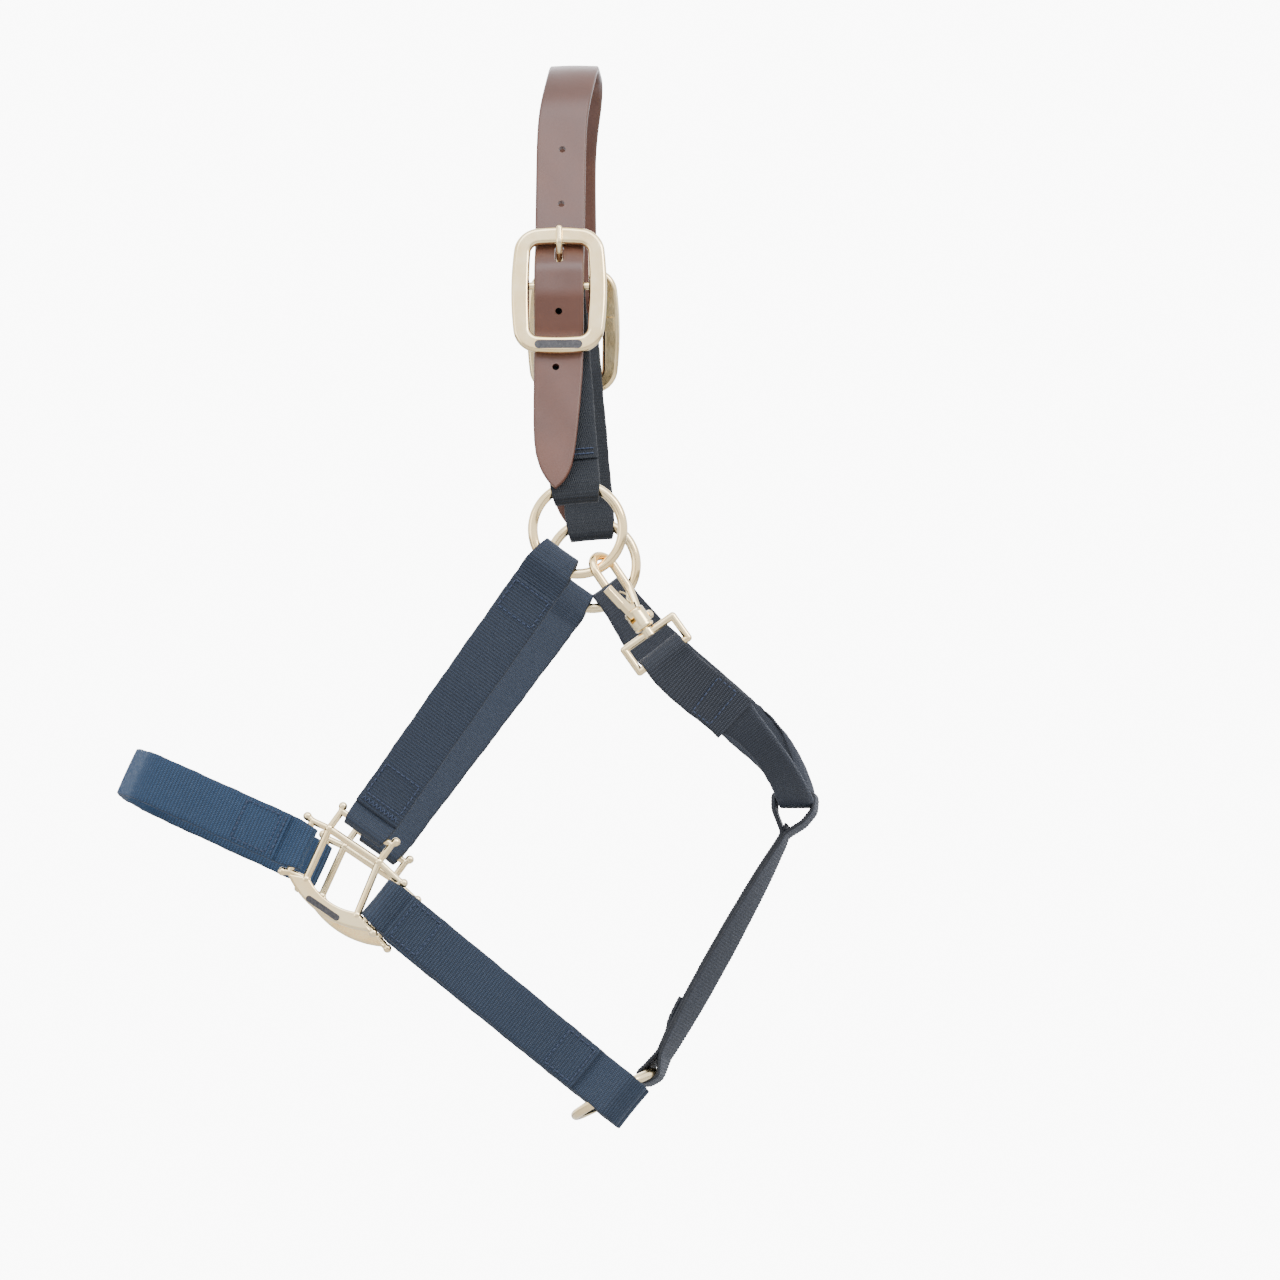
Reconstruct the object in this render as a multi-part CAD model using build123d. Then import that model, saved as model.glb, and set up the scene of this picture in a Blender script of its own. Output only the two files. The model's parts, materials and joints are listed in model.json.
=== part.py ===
from build123d import *
import os
from math import cos, sin, radians, sqrt

# Horse headcollar: nylon webbing cheeks, noseband and throat, leather crownpiece, cast brass fittings.
# Millimetres. +Z is up, the nose points to -X, the near (left) side is -Y.
# The origin is on the poll, at the inner face of the crownpiece, in the head's middle plane.

# ---- driving dimensions ----
CROWN_WIDTH = 25.0
CROWN_THICK = 3.5
WEB_WIDTH = 25.0
PLY = 2.0                    # one layer of webbing
RUN = 2 * PLY                # every webbing run is two layers sewn together

POLL_HALF = 50.0             # where the crown turns down from the poll
POLL_RADIUS = 45.0
HOLE_RADIUS = 1.6
HOLE_HEIGHTS = (-46.0, -74.5)        # punched holes above the buckle
HOLE_Y, HOLE_SLOPE, HOLE_TILT = 65.4, 0.325, 18.0
LOW_HOLE_HEIGHTS = (-130.0, -158.5)  # punched holes at and below the buckle
LOW_HOLE_Y = 92.0
TIP_Y = -104.6
TIP_Z = -220.5
TIP_TAPER = 42.0             # length of the pointed end

BUCKLE_TILT = 10.0           # degrees; the cheek leans out below the poll
BUCKLE_Y = -89.5
BUCKLE_Z = -119.5
BUCKLE_W = 48.0
BUCKLE_H = 66.0
BUCKLE_THICK = 5.0
BUCKLE_WINDOW_W = 30.0
BUCKLE_WINDOW_H = 48.6
BAR_RADIUS = 2.0
BAR_H = 3.5                  # the centre bar, above the buckle's middle
BAR_N = -4.2                 # and behind its middle plane
LEATHER_UNDER_N = -4.7       # the crown's middle layer where it passes under the frame
LEATHER_OVER_N = 2.6         # and where it passes over the centre bar
TONGUE_RADIUS = 1.6
TONGUE_SLOT = 4.6

RING_X = 9.7
RING_Y = 96.0
RING_Z = -240.4
RING_RADIUS = 22.5           # to the middle of the wire
WIRE_RADIUS = 2.5
BILLET_END_X = 8.4
BILLET_LEAN = 4.8             # degrees

SQUARE_Y = 64.0
SQUARE_TL = (-116.4, -387.9)
SQUARE_TR = (-91.4, -404.8)
SQUARE_BR = (-102.4, -431.6)
SQUARE_BL = (-128.0, -413.4)
SQUARE_WIRE = 1.9
SQUARE_CORNER = 2.4          # the fitting swells a little where its bars meet
ARM_RADIUS = 1.75            # arms that reach out from the square's corners to the loop bars
ARM_KNEE = 1.87
ARM_TIP = 2.2
LOOP_BAR = 1.7               # the straps fold round these bars, beyond the square's own sides
NOSE_REACH, NOSE_TIP = 9.2, 12.5         # from corner to loop bar, and to the arm's tip
CHEEK_REACH, CHEEK_TIP = 10.8, 13.2
CHIN_REACH_TOP, CHIN_TIP_TOP = 14.6, 16.4
CHIN_REACH_LOW, CHIN_TIP_LOW = 4.8, 12.0
CHEEK_ARM = (0.59, 0.81)
CHIN_ARM = (0.73, -0.68)
SQUARE_THICK = 4.0
PLAQUE_DEPTH = 0.8

NOSE_ANGLE = 24.6            # the noseband climbs towards the nose
NOSE_LENGTH = 98.8           # from the loop bar to the front of the nose
NOSE_RADIUS = 34.0
NOSE_FRONT_Y = 57.0

CHIN_RING_X = 24.9
CHIN_RING_Z = -518.2
CHIN_RING_ANGLE = 28.5       # the ring's plane holds Y and climbs to the rear at this angle

JUNCTION_X = 116.0           # lowest point of the throat strap
JUNCTION_Z = -371.5
GATHERED_WIDTH = 16.0        # the throat strap is squeezed narrow in the connector's loop
CONNECTOR_TOP = (110.6, -388.5)

EYE_X = 45.1                 # middle of the snap eye's upper bar
EYE_Y = -98.0
EYE_Z = -292.8
EYE_ANGLE = 35.4             # the upper bar climbs to the rear
EYE_WIDTH = 29.6
EYE_DEPTH = 13.5
EYE_WIRE = 1.9
SNAP_TILT = 56.05            # degrees from level to the snap's long axis
SNAP_TURN = 52.0             # the hook's plane, turned about that axis
SNAP_GAP = 7.7               # from the axis to the middle of each limb
SNAP_WIRE = 2.2
SNAP_TOP = 48.7

STITCH = (2.3, 0.7, 0.4)     # length, width and height of one stitch
STITCH_PITCH = 3.0
STITCH_LIFT = 0.15           # clear of the webbing

near_ring = Vector(RING_X, -RING_Y, RING_Z)


def off_side(shape):
    return mirror(shape, about=Plane.XZ)


def merged(solid):
    """The solid with its split faces joined, where that loses no material."""
    joined = solid.clean()
    return joined if abs(joined.volume - solid.volume) < 0.01 else solid


def save(shape, node):
    solids = [merged(s) for s in shape.solids()]
    whole = solids[0] if len(solids) == 1 else Compound(children=solids)
    export_step(whole, f"parts/{node}.step")


def unit(x, z):
    length = sqrt(x * x + z * z)
    return Vector(x / length, 0, z / length)


def run_plane(origin, along):
    """Local x follows the run, local y is the row's Y, local z is the strap's width."""
    across = Vector(-along.Z, 0, along.X)
    return Plane(origin=origin, x_dir=along, z_dir=across if across.cross(along).Y > 0 else -across)


def ribbon(points, radius, thick):
    path = FilletPolyline(*points, radius=radius) if len(points) > 2 else Polyline(*points)
    return make_face(Wire(path.edges()).offset_2d(thick / 2, Kind.ARC, Side.BOTH).edges())


def eye(hole_points, hole_radius, meet):
    """The folded end of a strap: a hole round a bar, and the layer of webbing outside it.

    The hole covers the circles at hole_points, and both layers meet again at the point meet."""
    circles = [Pos(*p) * Circle(hole_radius) for p in hole_points]
    inner_end = Pos(*meet) * Circle(0.3)
    hole = make_hull([c.edges() for c in circles + [inner_end]])
    layers = [Pos(*p) * Circle(hole_radius + PLY) for p in hole_points]
    outer = make_hull([c.edges() for c in layers + [Pos(*meet) * Circle(PLY)]])
    return outer, hole


def strap(plane, run, eyes):
    profile = run
    for outer, _ in eyes:
        profile = profile + outer
    for _, hole in eyes:
        profile = profile - hole
    return extrude(plane * profile, WEB_WIDTH / 2, both=True)


def taper(plane, wide, narrow, half):
    """What is cut away where a folded end draws in, from full width at wide to half at narrow."""
    full = WEB_WIDTH / 2
    side = make_face(Polyline((wide, full), (narrow, half), (narrow, full + 8), (wide, full + 8), close=True))
    flat = Plane(origin=plane.origin, x_dir=plane.x_dir, z_dir=-plane.y_dir)
    both = side + mirror(side, about=Plane.XZ)
    return extrude(flat * both, 40, both=True)


# ---- crownpiece and its buckles ----

def buckle_point(height, out):
    """A point (Y, Z) of the near buckle's own side view: height up its plane, out of it."""
    tilt = radians(BUCKLE_TILT)
    return (BUCKLE_Y + height * sin(tilt) - out * cos(tilt),
            BUCKLE_Z + height * cos(tilt) + out * sin(tilt))


def buckle_plane(out=0.0):
    """Local x is the row's X, local y climbs the buckle, local z points out of it."""
    tilt = radians(BUCKLE_TILT)
    y, z = buckle_point(0, out)
    return Plane(origin=(0, y, z), x_dir=(1, 0, 0), z_dir=(0, -cos(tilt), sin(tilt)))


def crown_path():
    middle = CROWN_THICK / 2
    near = [(-POLL_HALF, middle), buckle_point(24.2, LEATHER_UNDER_N), buckle_point(12.0, LEATHER_OVER_N),
            buckle_point(-3.0, LEATHER_OVER_N), buckle_point(-21.0, LEATHER_UNDER_N),
            buckle_point(-34.0, LEATHER_UNDER_N), (TIP_Y, TIP_Z)]
    return near, [POLL_RADIUS, 9.0, 10.0, 10.0, 12.0, 60.0]


def crown_strap():
    near, radii = crown_path()
    far = [(-y, z) for y, z in reversed(near)]
    line = FilletPolyline(*(near[::-1] + far[::-1]), radius=radii[::-1] + radii)
    band = make_face(Wire(line.edges()).offset_2d(CROWN_THICK / 2, Kind.ARC, Side.BOTH).edges())
    leather = extrude(Plane.YZ * band, CROWN_WIDTH / 2, both=True)
    for side in (-1, 1):
        leather -= tip_cutter(side)
        leather -= punched_holes(side)
    return leather


def tip_cutter(side):
    """What is cut away beside the pointed end of the crown."""
    half = CROWN_WIDTH / 2
    low = TIP_Z - 6.0
    outline = Polyline((half, TIP_Z + TIP_TAPER), (half + 2, TIP_Z + TIP_TAPER), (half + 2, low), (0, low),
                       (0, TIP_Z))
    curve = ThreePointArc((0, TIP_Z), (10.0, TIP_Z + 18.0), (half, TIP_Z + TIP_TAPER))
    cut = extrude(Plane.XZ.offset(side * TIP_Y) * make_face(outline.edges() + curve.edges()), 14, both=True)
    return cut + mirror(cut, about=Plane.YZ)


def punched_holes(side):
    drill = Part()
    for z in HOLE_HEIGHTS:
        y = HOLE_Y + (HOLE_HEIGHTS[0] - z) * HOLE_SLOPE
        drill += Pos(0, side * y, z) * Rot(90 - side * HOLE_TILT, 0, 0) * Cylinder(HOLE_RADIUS, 12)
    for z in LOW_HOLE_HEIGHTS:
        drill += Pos(0, side * LOW_HOLE_Y, z) * Rot(90 - side * BUCKLE_TILT, 0, 0) * Cylinder(HOLE_RADIUS, 22)
    slot = buckle_plane() * Pos(0, 19.0, -2.0) * Box(TONGUE_SLOT, 10.6, 14)
    return drill + (slot if side < 0 else off_side(slot))


def buckle_outline(width, height, corner, bulge):
    """A rectangle with bowed sides and round corners."""
    w, h = width / 2, height / 2
    edges = [ThreePointArc((-w + bulge, h - bulge), (0, h), (w - bulge, h - bulge)),
             ThreePointArc((w - bulge, h - bulge), (w, 0), (w - bulge, -h + bulge)),
             ThreePointArc((w - bulge, -h + bulge), (0, -h), (-w + bulge, -h + bulge)),
             ThreePointArc((-w + bulge, -h + bulge), (-w, 0), (-w + bulge, h - bulge))]
    face = make_face(edges)
    return fillet(face.vertices(), corner)


def buckle_frame():
    outer = buckle_outline(BUCKLE_W, BUCKLE_H, 13.0, 2.6)
    inner = buckle_outline(BUCKLE_WINDOW_W, BUCKLE_WINDOW_H, 4.5, 0.7)
    frame = extrude(buckle_plane() * (outer - inner), BUCKLE_THICK / 2, both=True)
    frame = fillet(frame.edges().filter_by(lambda e: abs(buckle_plane().to_local_coords(e.center()).Z) > 2.4), 2.1)
    for side in (-1, 1):
        lug = Pos(side * (BUCKLE_WINDOW_W / 2 + 3.4), BAR_H, BAR_N + 0.6) * Box(5.2, 7.0, 6.2)
        frame += buckle_plane() * lug
    bore = buckle_plane() * Pos(0, BAR_H, BAR_N) * Rot(0, 90, 0) * Cylinder(BAR_RADIUS + 0.02, BUCKLE_WINDOW_W + 7)
    return frame - bore - buckle_recess()


def buckle_recess(depth=PLAQUE_DEPTH):
    y = -(BUCKLE_H + BUCKLE_WINDOW_H) / 4
    shape = Pos(0, y, BUCKLE_THICK / 2 - depth / 2) * extrude(SlotOverall(24, 4.4), depth / 2, both=True)
    return buckle_plane() * shape


def buckle_plaque():
    return buckle_recess(PLAQUE_DEPTH).intersect(buckle_plane() * Pos(0, -28, 0.9) * Box(40, 12, 3.0))


def buckle_bar():
    return buckle_plane() * Pos(0, BAR_H, BAR_N) * Rot(0, 90, 0) * Cylinder(BAR_RADIUS, BUCKLE_WINDOW_W + 6.6)


def buckle_tongue():
    side_view = Plane(origin=buckle_plane().origin, x_dir=buckle_plane().y_dir, z_dir=(1, 0, 0))
    path = FilletPolyline((BAR_H + 2.6, -4.0), (15.2, -4.0), (23.8, 4.7), (31.4, 4.5), radius=(5.0, 4.0))
    start = Plane(origin=side_view.from_local_coords((BAR_H + 2.6, -4.0, 0)), z_dir=side_view.x_dir)
    shank = sweep(start * Circle(TONGUE_RADIUS), path=side_view * path)
    tip = side_view * Pos(31.4, 4.5, 0) * Sphere(TONGUE_RADIUS)
    loop = Cylinder(BAR_RADIUS + 2.0, 4.0) - Cylinder(BAR_RADIUS + 0.06, 6.0)
    loop = buckle_plane() * Pos(0, BAR_H, BAR_N) * Rot(0, 90, 0) * loop
    return loop + shank + tip


def billet_line():
    y, z = buckle_point(BAR_H, BAR_N)
    along = unit(BILLET_END_X, RING_Z + RING_RADIUS - z)
    length = (z - RING_Z - RING_RADIUS) / -along.Z
    return run_plane(Vector(0, y, z), along), length


def billet_station(height, out):
    """A point of the billet's side view, from a point of the buckle's."""
    y, z = buckle_point(height, out)
    bar_y, bar_z = buckle_point(BAR_H, BAR_N)
    return ((bar_z - z) / cos(radians(BILLET_LEAN)), y - bar_y)


def billet():
    """Two layers of webbing from the buckle's centre bar down behind the crown to the cheek ring."""
    plane, length = billet_line()
    rise = -RING_Y - buckle_point(BAR_H, BAR_N)[0]
    meet = billet_station(-8.5, -6.9)
    run = ribbon([meet, billet_station(-19.0, -9.1), billet_station(-42.0, -9.1), (length - 9, rise)], 20, RUN)
    top = eye([(-1.2, 0), (1.2, 0)], BAR_RADIUS + 0.12, meet)
    low = eye([(length - 0.4, rise), (length + 5.2, rise)], WIRE_RADIUS + 0.35, (length - 9, rise))
    return strap(plane, run, [top, low]) - plane * Box(15, 14, 5.2)


# ---- rings ----

def cheek_ring():
    return Pos(*near_ring) * Rot(90, 0, 0) * Torus(RING_RADIUS, WIRE_RADIUS)


def chin_ring():
    return Pos(CHIN_RING_X, 0, CHIN_RING_Z) * Rot(0, -CHIN_RING_ANGLE, 0) * Torus(RING_RADIUS, WIRE_RADIUS)


# ---- cheek fitting ----

def along_bar(a, b, share=0.5):
    return (a[0] + (b[0] - a[0]) * share, a[1] + (b[1] - a[1]) * share)


def square_middle_plane():
    return Plane(origin=(0, -SQUARE_Y, 0), x_dir=(1, 0, 0), z_dir=(0, -1, 0))


def rod(a, b, radius):
    start, end = Vector(a[0], -SQUARE_Y, a[1]), Vector(b[0], -SQUARE_Y, b[1])
    axis = end - start
    plane = Plane(origin=start, z_dir=axis)
    return plane * Pos(0, 0, axis.length / 2) * Cylinder(radius, axis.length)


def ball(at, radius):
    return Pos(at[0], -SQUARE_Y, at[1]) * Sphere(radius)


def reach(corner, direction, distance):
    d = unit(*direction)
    return (corner[0] + d.X * distance, corner[1] + d.Z * distance)


def arm(corner, direction, knee_at, length, bend):
    """An arm that holds one end of a loop bar, bent a little towards its knobbed tip."""
    d = unit(*direction)
    knee = reach(corner, direction, knee_at)
    straight = reach(corner, direction, length)
    tip = (straight[0] - d.Z * bend, straight[1] + d.X * bend)
    end = Vector(tip[0], -SQUARE_Y, tip[1])
    knob = Plane(origin=end, z_dir=end - Vector(knee[0], -SQUARE_Y, knee[1])) * Sphere(ARM_TIP)
    return rod(corner, knee, ARM_RADIUS) + ball(knee, ARM_KNEE) + rod(knee, tip, ARM_RADIUS) + knob


def nose_arm():
    return (-cos(radians(NOSE_ANGLE)), sin(radians(NOSE_ANGLE)))


def loop_bars():
    """The two ends of each bar that a strap folds round: noseband, cheek strap and chin strap."""
    return [(reach(SQUARE_TL, nose_arm(), NOSE_REACH), reach(SQUARE_BL, nose_arm(), NOSE_REACH)),
            (reach(SQUARE_TL, CHEEK_ARM, CHEEK_REACH), reach(SQUARE_TR, CHEEK_ARM, CHEEK_REACH)),
            (reach(SQUARE_TR, CHIN_ARM, CHIN_REACH_TOP), reach(SQUARE_BR, CHIN_ARM, CHIN_REACH_LOW))]


def crescent():
    """The fitting's lower bar: a flat bowed plate between its two lower arms."""
    outer_left = (SQUARE_BL[0] - 9.4, SQUARE_BL[1] + 3.2)
    outer_right = (SQUARE_BR[0] + 7.6, SQUARE_BR[1] - 7.9)
    inner_left = (SQUARE_BL[0] + 1.6, SQUARE_BL[1] + 0.8)
    inner_right = (SQUARE_BR[0] + 0.6, SQUARE_BR[1] + 1.6)
    outer_edge = ThreePointArc(outer_left, (-118.6, -432.2), outer_right)
    inner_edge = ThreePointArc(inner_right, (-115.6, -424.9), inner_left)
    face = make_face([outer_edge, Line(outer_right, inner_right), inner_edge, Line(inner_left, outer_left)])
    plate = extrude(square_middle_plane() * face, SQUARE_THICK / 2, both=True)
    rims = plate.edges().filter_by(lambda e: abs(abs(e.center().Y + SQUARE_Y) - SQUARE_THICK / 2) < 0.05)
    return fillet(rims, 1.2)


def plaque_shape(depth):
    middle = Plane(origin=(-119.4, -SQUARE_Y - SQUARE_THICK / 2 + depth / 2, -428.0), x_dir=unit(0.83, -0.57),
                   z_dir=(0, -1, 0))
    return extrude(middle * SlotOverall(20.0, 3.2), depth / 2, both=True)


def square_fitting():
    tl, tr, br, bl = SQUARE_TL, SQUARE_TR, SQUARE_BR, SQUARE_BL
    body = rod(tl, tr, SQUARE_WIRE) + rod(tr, br, SQUARE_WIRE) + rod(tl, bl, SQUARE_WIRE)
    for corner in (tl, tr, br, bl):
        body += ball(corner, SQUARE_CORNER)
    body += arm(tl, nose_arm(), NOSE_REACH, NOSE_TIP, -1.2) + arm(bl, nose_arm(), NOSE_REACH, NOSE_TIP, 1.2)
    body += arm(tl, CHEEK_ARM, CHEEK_REACH, CHEEK_TIP, 1.0) + arm(tr, CHEEK_ARM, CHEEK_REACH, CHEEK_TIP, -1.0)
    body += arm(tr, CHIN_ARM, CHIN_REACH_TOP, CHIN_TIP_TOP, 0.8)
    body += arm(br, CHIN_ARM, CHIN_REACH_LOW, CHIN_TIP_LOW, -0.8)
    for a, b in loop_bars():
        body += rod(a, b, LOOP_BAR)
    return body + crescent() - plaque_shape(PLAQUE_DEPTH)


# ---- webbing ----

def cheek_line():
    foot = along_bar(*loop_bars()[1])
    along = unit(foot[0] - RING_X, foot[1] - RING_Z)
    top = near_ring + along * RING_RADIUS
    length = sqrt((foot[0] - top.X) ** 2 + (foot[1] - top.Z) ** 2)
    return run_plane(top, along), length


def cheek_strap():
    plane, length = cheek_line()
    drop = RING_Y - SQUARE_Y
    run = ribbon([(9, 0.6), (length * 0.45, drop * 0.36), (length - 9, drop - 0.8)], 150, RUN)
    ring_end = eye([(0.4, 0), (-5.2, 0)], WIRE_RADIUS + 0.35, (10, 0.7))
    square_end = eye([(length - 0.7, drop), (length + 0.7, drop)], LOOP_BAR + 0.15, (length - 9, drop - 0.8))
    web = strap(plane, run, [ring_end, square_end])
    return web - taper(plane, 3.5, -11, 6.2) - taper(plane, length - 1, length + 5, 8.0)


def nose_line():
    start = along_bar(*loop_bars()[0])
    along = Vector(-cos(radians(NOSE_ANGLE)), 0, sin(radians(NOSE_ANGLE)))
    return run_plane(Vector(start[0], 0, start[1]), along)


def noseband():
    plane = nose_line()
    half = [(8.5, -SQUARE_Y), (31, -SQUARE_Y + 1.0), (NOSE_LENGTH - 12, -NOSE_FRONT_Y), (NOSE_LENGTH, -20)]
    full = half + [(s, -y) for s, y in reversed(half)]
    run = ribbon(full, (80, NOSE_RADIUS * 0.45, NOSE_RADIUS, NOSE_RADIUS, NOSE_RADIUS * 0.45, 80), RUN)
    ends = [eye([(-0.7, y), (0.7, y)], LOOP_BAR + 0.15, (9, y)) for y in (-SQUARE_Y, SQUARE_Y)]
    return strap(plane, run, ends) - taper(plane, 1, -5, 8.0)


def chin_line():
    start = along_bar(*loop_bars()[2])
    end = (CHIN_RING_X, CHIN_RING_Z)
    along = unit(end[0] - start[0], end[1] - start[1])
    length = sqrt((end[0] - start[0]) ** 2 + (end[1] - start[1]) ** 2)
    return run_plane(Vector(start[0], -SQUARE_Y, start[1]), along), length


def chin_strap():
    plane, length = chin_line()
    rise = SQUARE_Y - RING_RADIUS
    run = ribbon([(8.5, 0.4), (length * 0.5, rise * 0.42), (length - 13, rise - 3.0)], 220, RUN)
    square_end = eye([(-0.7, 0), (0.7, 0)], LOOP_BAR + 0.15, (9, 0.4))
    ring_end = eye([(length - 5.8, rise + 5.6), (length + 5.8, rise + 5.6), (length, rise + 0.2)],
                   WIRE_RADIUS + 1.5, (length - 16, rise - 3.6))
    return strap(plane, run, [square_end, ring_end]) - taper(plane, 1, -5, 8.0)


def upright_plane():
    """Local x is the row's X and local y is its Z."""
    return Plane(origin=(0, 0, 0), x_dir=(1, 0, 0), z_dir=(0, -1, 0))


def connector_strap():
    climb = radians(CHIN_RING_ANGLE)
    wire = (CHIN_RING_X + RING_RADIUS * cos(climb), CHIN_RING_Z + RING_RADIUS * sin(climb))
    back = (wire[0] - 4.4 * cos(climb), wire[1] - 4.4 * sin(climb))
    up = unit(CONNECTOR_TOP[0] - wire[0], CONNECTOR_TOP[1] - wire[1])
    foot = (wire[0] + up.X * 10, wire[1] + up.Z * 10)
    run = ribbon([foot, CONNECTOR_TOP], 1, RUN)
    ring_end = eye([wire, back], WIRE_RADIUS + 0.35, foot)
    half = GATHERED_WIDTH / 2
    top = JUNCTION_Z + PLY + 0.5
    corners = [(JUNCTION_X - half - 0.6, top + 0.8), (JUNCTION_X + half + 1.0, top + 0.8),
               (JUNCTION_X + half + 0.4, JUNCTION_Z - 3.0), (JUNCTION_X + 3.5, JUNCTION_Z - 9.0),
               (JUNCTION_X - half - 0.6, JUNCTION_Z - 3.0)]
    throat_end = eye(corners, 1.0, (CONNECTOR_TOP[0] + 0.3, CONNECTOR_TOP[1] + 1.5))
    return strap(upright_plane(), run, [ring_end, throat_end])


# stations of the throat strap, from the snap's eye under the throat to the off ring:
# middle, outward direction and width
THROAT = [
    ((57.0, -97.4, -309.0), (0, -1, 0), 25.0),
    ((65.6, -93.6, -317.0), (0.05, -1, -0.1), 25.0),
    ((80.5, -86.0, -328.4), (0.1, -1, -0.15), 25.0),
    ((92.0, -76.5, -338.2), (0.15, -1, -0.3), 24.5),
    ((101.5, -64.0, -348.4), (0.2, -1, -0.55), 23.5),
    ((108.6, -48.0, -358.2), (0.2, -0.8, -0.8), 22.0),
    ((113.2, -31.0, -366.0), (0.15, -0.5, -0.9), 19.0),
    ((115.6, -15.0, -370.6), (0.05, -0.2, -1), 16.5),
    ((JUNCTION_X, 0, JUNCTION_Z), (0, 0, -1), GATHERED_WIDTH),
    ((116.2, 15.0, -370.0), (0.05, 0.2, -1), 16.5),
    ((115.0, 31.0, -363.6), (0.2, 0.5, -0.9), 19.0),
    ((111.0, 48.0, -353.6), (0.3, 0.8, -0.8), 22.0),
    ((103.6, 64.0, -341.6), (0.3, 1, -0.5), 24.0),
    ((91.5, 78.5, -327.6), (0.2, 1, -0.3), 25.0),
    ((75.0, 89.0, -311.8), (0.1, 1, -0.15), 25.0),
    ((55.0, 94.8, -294.0), (0, 1, -0.05), 25.0),
    ((38.0, 96.0, -278.6), (0, 1, 0), 25.0),
]


def throat_sections():
    faces = []
    last = len(THROAT) - 1
    for i, (middle, out, width) in enumerate(THROAT):
        before, after = Vector(*THROAT[max(i - 1, 0)][0]), Vector(*THROAT[min(i + 1, last)][0])
        along = (after - before).normalized()
        across = Vector(*out).cross(along).normalized()
        faces.append(Plane(origin=middle, x_dir=across, z_dir=along) * Rectangle(width, RUN))
    return faces


def throat_strap():
    web = loft(throat_sections(), ruled=True)
    eye_bar = eye_point(EYE_DEPTH)
    to_last = unit(THROAT[-1][0][0] - RING_X, THROAT[-1][0][2] - RING_Z)
    off_wire = Vector(RING_X, RING_Y, RING_Z) + to_last * RING_RADIUS
    ends = [(eye_bar, Vector(*THROAT[0][0]), 1.2, EYE_WIRE + 0.2),
            (off_wire, Vector(*THROAT[-1][0]), 5.2, WIRE_RADIUS + 0.35)]
    for bar, meet, back, radius in ends:
        along = meet - bar
        distance = sqrt(along.X ** 2 + along.Z ** 2)
        plane = run_plane(bar, unit(along.X, along.Z))
        lift = along.Y
        outer, hole = eye([(1.0, 0), (-back, 0)], radius, (distance + 0.4, lift))
        web += extrude(plane * outer, WEB_WIDTH / 2, both=True)
        web -= extrude(plane * hole, WEB_WIDTH / 2 + 1, both=True)
        if bar is off_wire:
            web -= taper(plane, 3.5, -11, 6.2).intersect(Pos(*bar) * Sphere(40))
    return web


# ---- snap ----

def eye_point(down, along=0.0):
    """A point of the snap's eye: down from its upper bar, and along that bar to the rear."""
    a = radians(EYE_ANGLE)
    return Vector(EYE_X + down * sin(a) + along * cos(a), EYE_Y, EYE_Z - down * cos(a) + along * sin(a))


def snap_plane():
    """Local x runs from the gate to the shank, local y runs up the snap from its eye."""
    tilt, turn = radians(SNAP_TILT), radians(SNAP_TURN)
    up = Vector(-cos(tilt), 0.04, sin(tilt)).normalized()
    level = Vector(sin(tilt), 0, cos(tilt))
    behind = up.cross(level)
    across = (level * cos(turn) + behind * sin(turn)).normalized()
    return Plane(origin=(EYE_X, EYE_Y, EYE_Z), x_dir=across, z_dir=across.cross(up))


def tube(plane, points, radii, radius):
    path = FilletPolyline(*points, radius=radii)
    heading = Vector(points[1][0] - points[0][0], points[1][1] - points[0][1], 0)
    start = plane * Plane(origin=(points[0][0], points[0][1], 0), z_dir=heading)
    return sweep(start * Circle(radius), path=plane * path)


def snap_hook():
    plane = snap_plane()
    crest = SNAP_TOP - SNAP_WIRE
    points = [(1.6, 8.0), (3.6, 14.5), (SNAP_GAP, 25.0), (SNAP_GAP, crest), (-SNAP_GAP, crest), (-SNAP_GAP, 30.8)]
    limb = tube(plane, points, (9.0, 12.0, SNAP_GAP - 0.05, SNAP_GAP - 0.05), SNAP_WIRE)
    spin = plane * Rot(-90, 0, 0)
    base = spin * Pos(0, 0, 8.3) * Cylinder(5.2, 11.4)
    base = fillet(base.edges(), 1.4)
    groove = spin * Pos(0, 0, 4.6) * (Cylinder(6.5, 0.8) - Cylinder(4.6, 1.2))
    slot = plane * Pos(1.5, 12.4, 0) * Box(24, 9.6, 3.4) + plane * Pos(9.6, 8.6, 0) * Box(12, 8.4, 3.4)
    stem_bore = spin * (Pos(0, 0, 3.8) * Cylinder(1.6, 4.0) + Pos(0, 0, 6.4) * Cylinder(2.7, 2.6))
    pin_bore = plane * Pos(-1.6, 12.2, 0) * Cylinder(1.02, 14)
    return limb + base - groove - slot - stem_bore - pin_bore


def snap_gate():
    plane = snap_plane()
    hub = plane * Pos(-1.6, 12.2, 0) * Cylinder(2.9, 2.8)
    outline = make_face(Polyline((-9.4, 29.0), (-5.6, 29.9), (-0.2, 15.0), (-0.6, 10.4), (-4.2, 11.2), close=True))
    blade = extrude(plane * outline, 1.4, both=True)
    cap = extrude(plane * make_face(Polyline((-9.5, 29.0), (-5.5, 29.9), (-3.0, 19.5), (-6.6, 17.6), close=True)),
                  2.1, both=True)
    cap = fillet(cap.edges().filter_by(lambda e: abs(plane.to_local_coords(e.center()).Z) > 2.0), 0.9)
    tail = plane * Pos(2.9, 10.6, 0) * Rot(0, 0, -22) * Box(9.5, 2.2, 2.6)
    thumb = plane * Pos(8.2, 8.4, 0) * Rot(0, 90, 0) * Cylinder(2.3, 3.0)
    return hub + blade + cap + tail + thumb - plane * Pos(-1.6, 12.2, 0) * Cylinder(1.06, 6)


def snap_gate_pin():
    return snap_plane() * Pos(-1.6, 12.2, 0) * Cylinder(1.0, 9.6)


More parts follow.
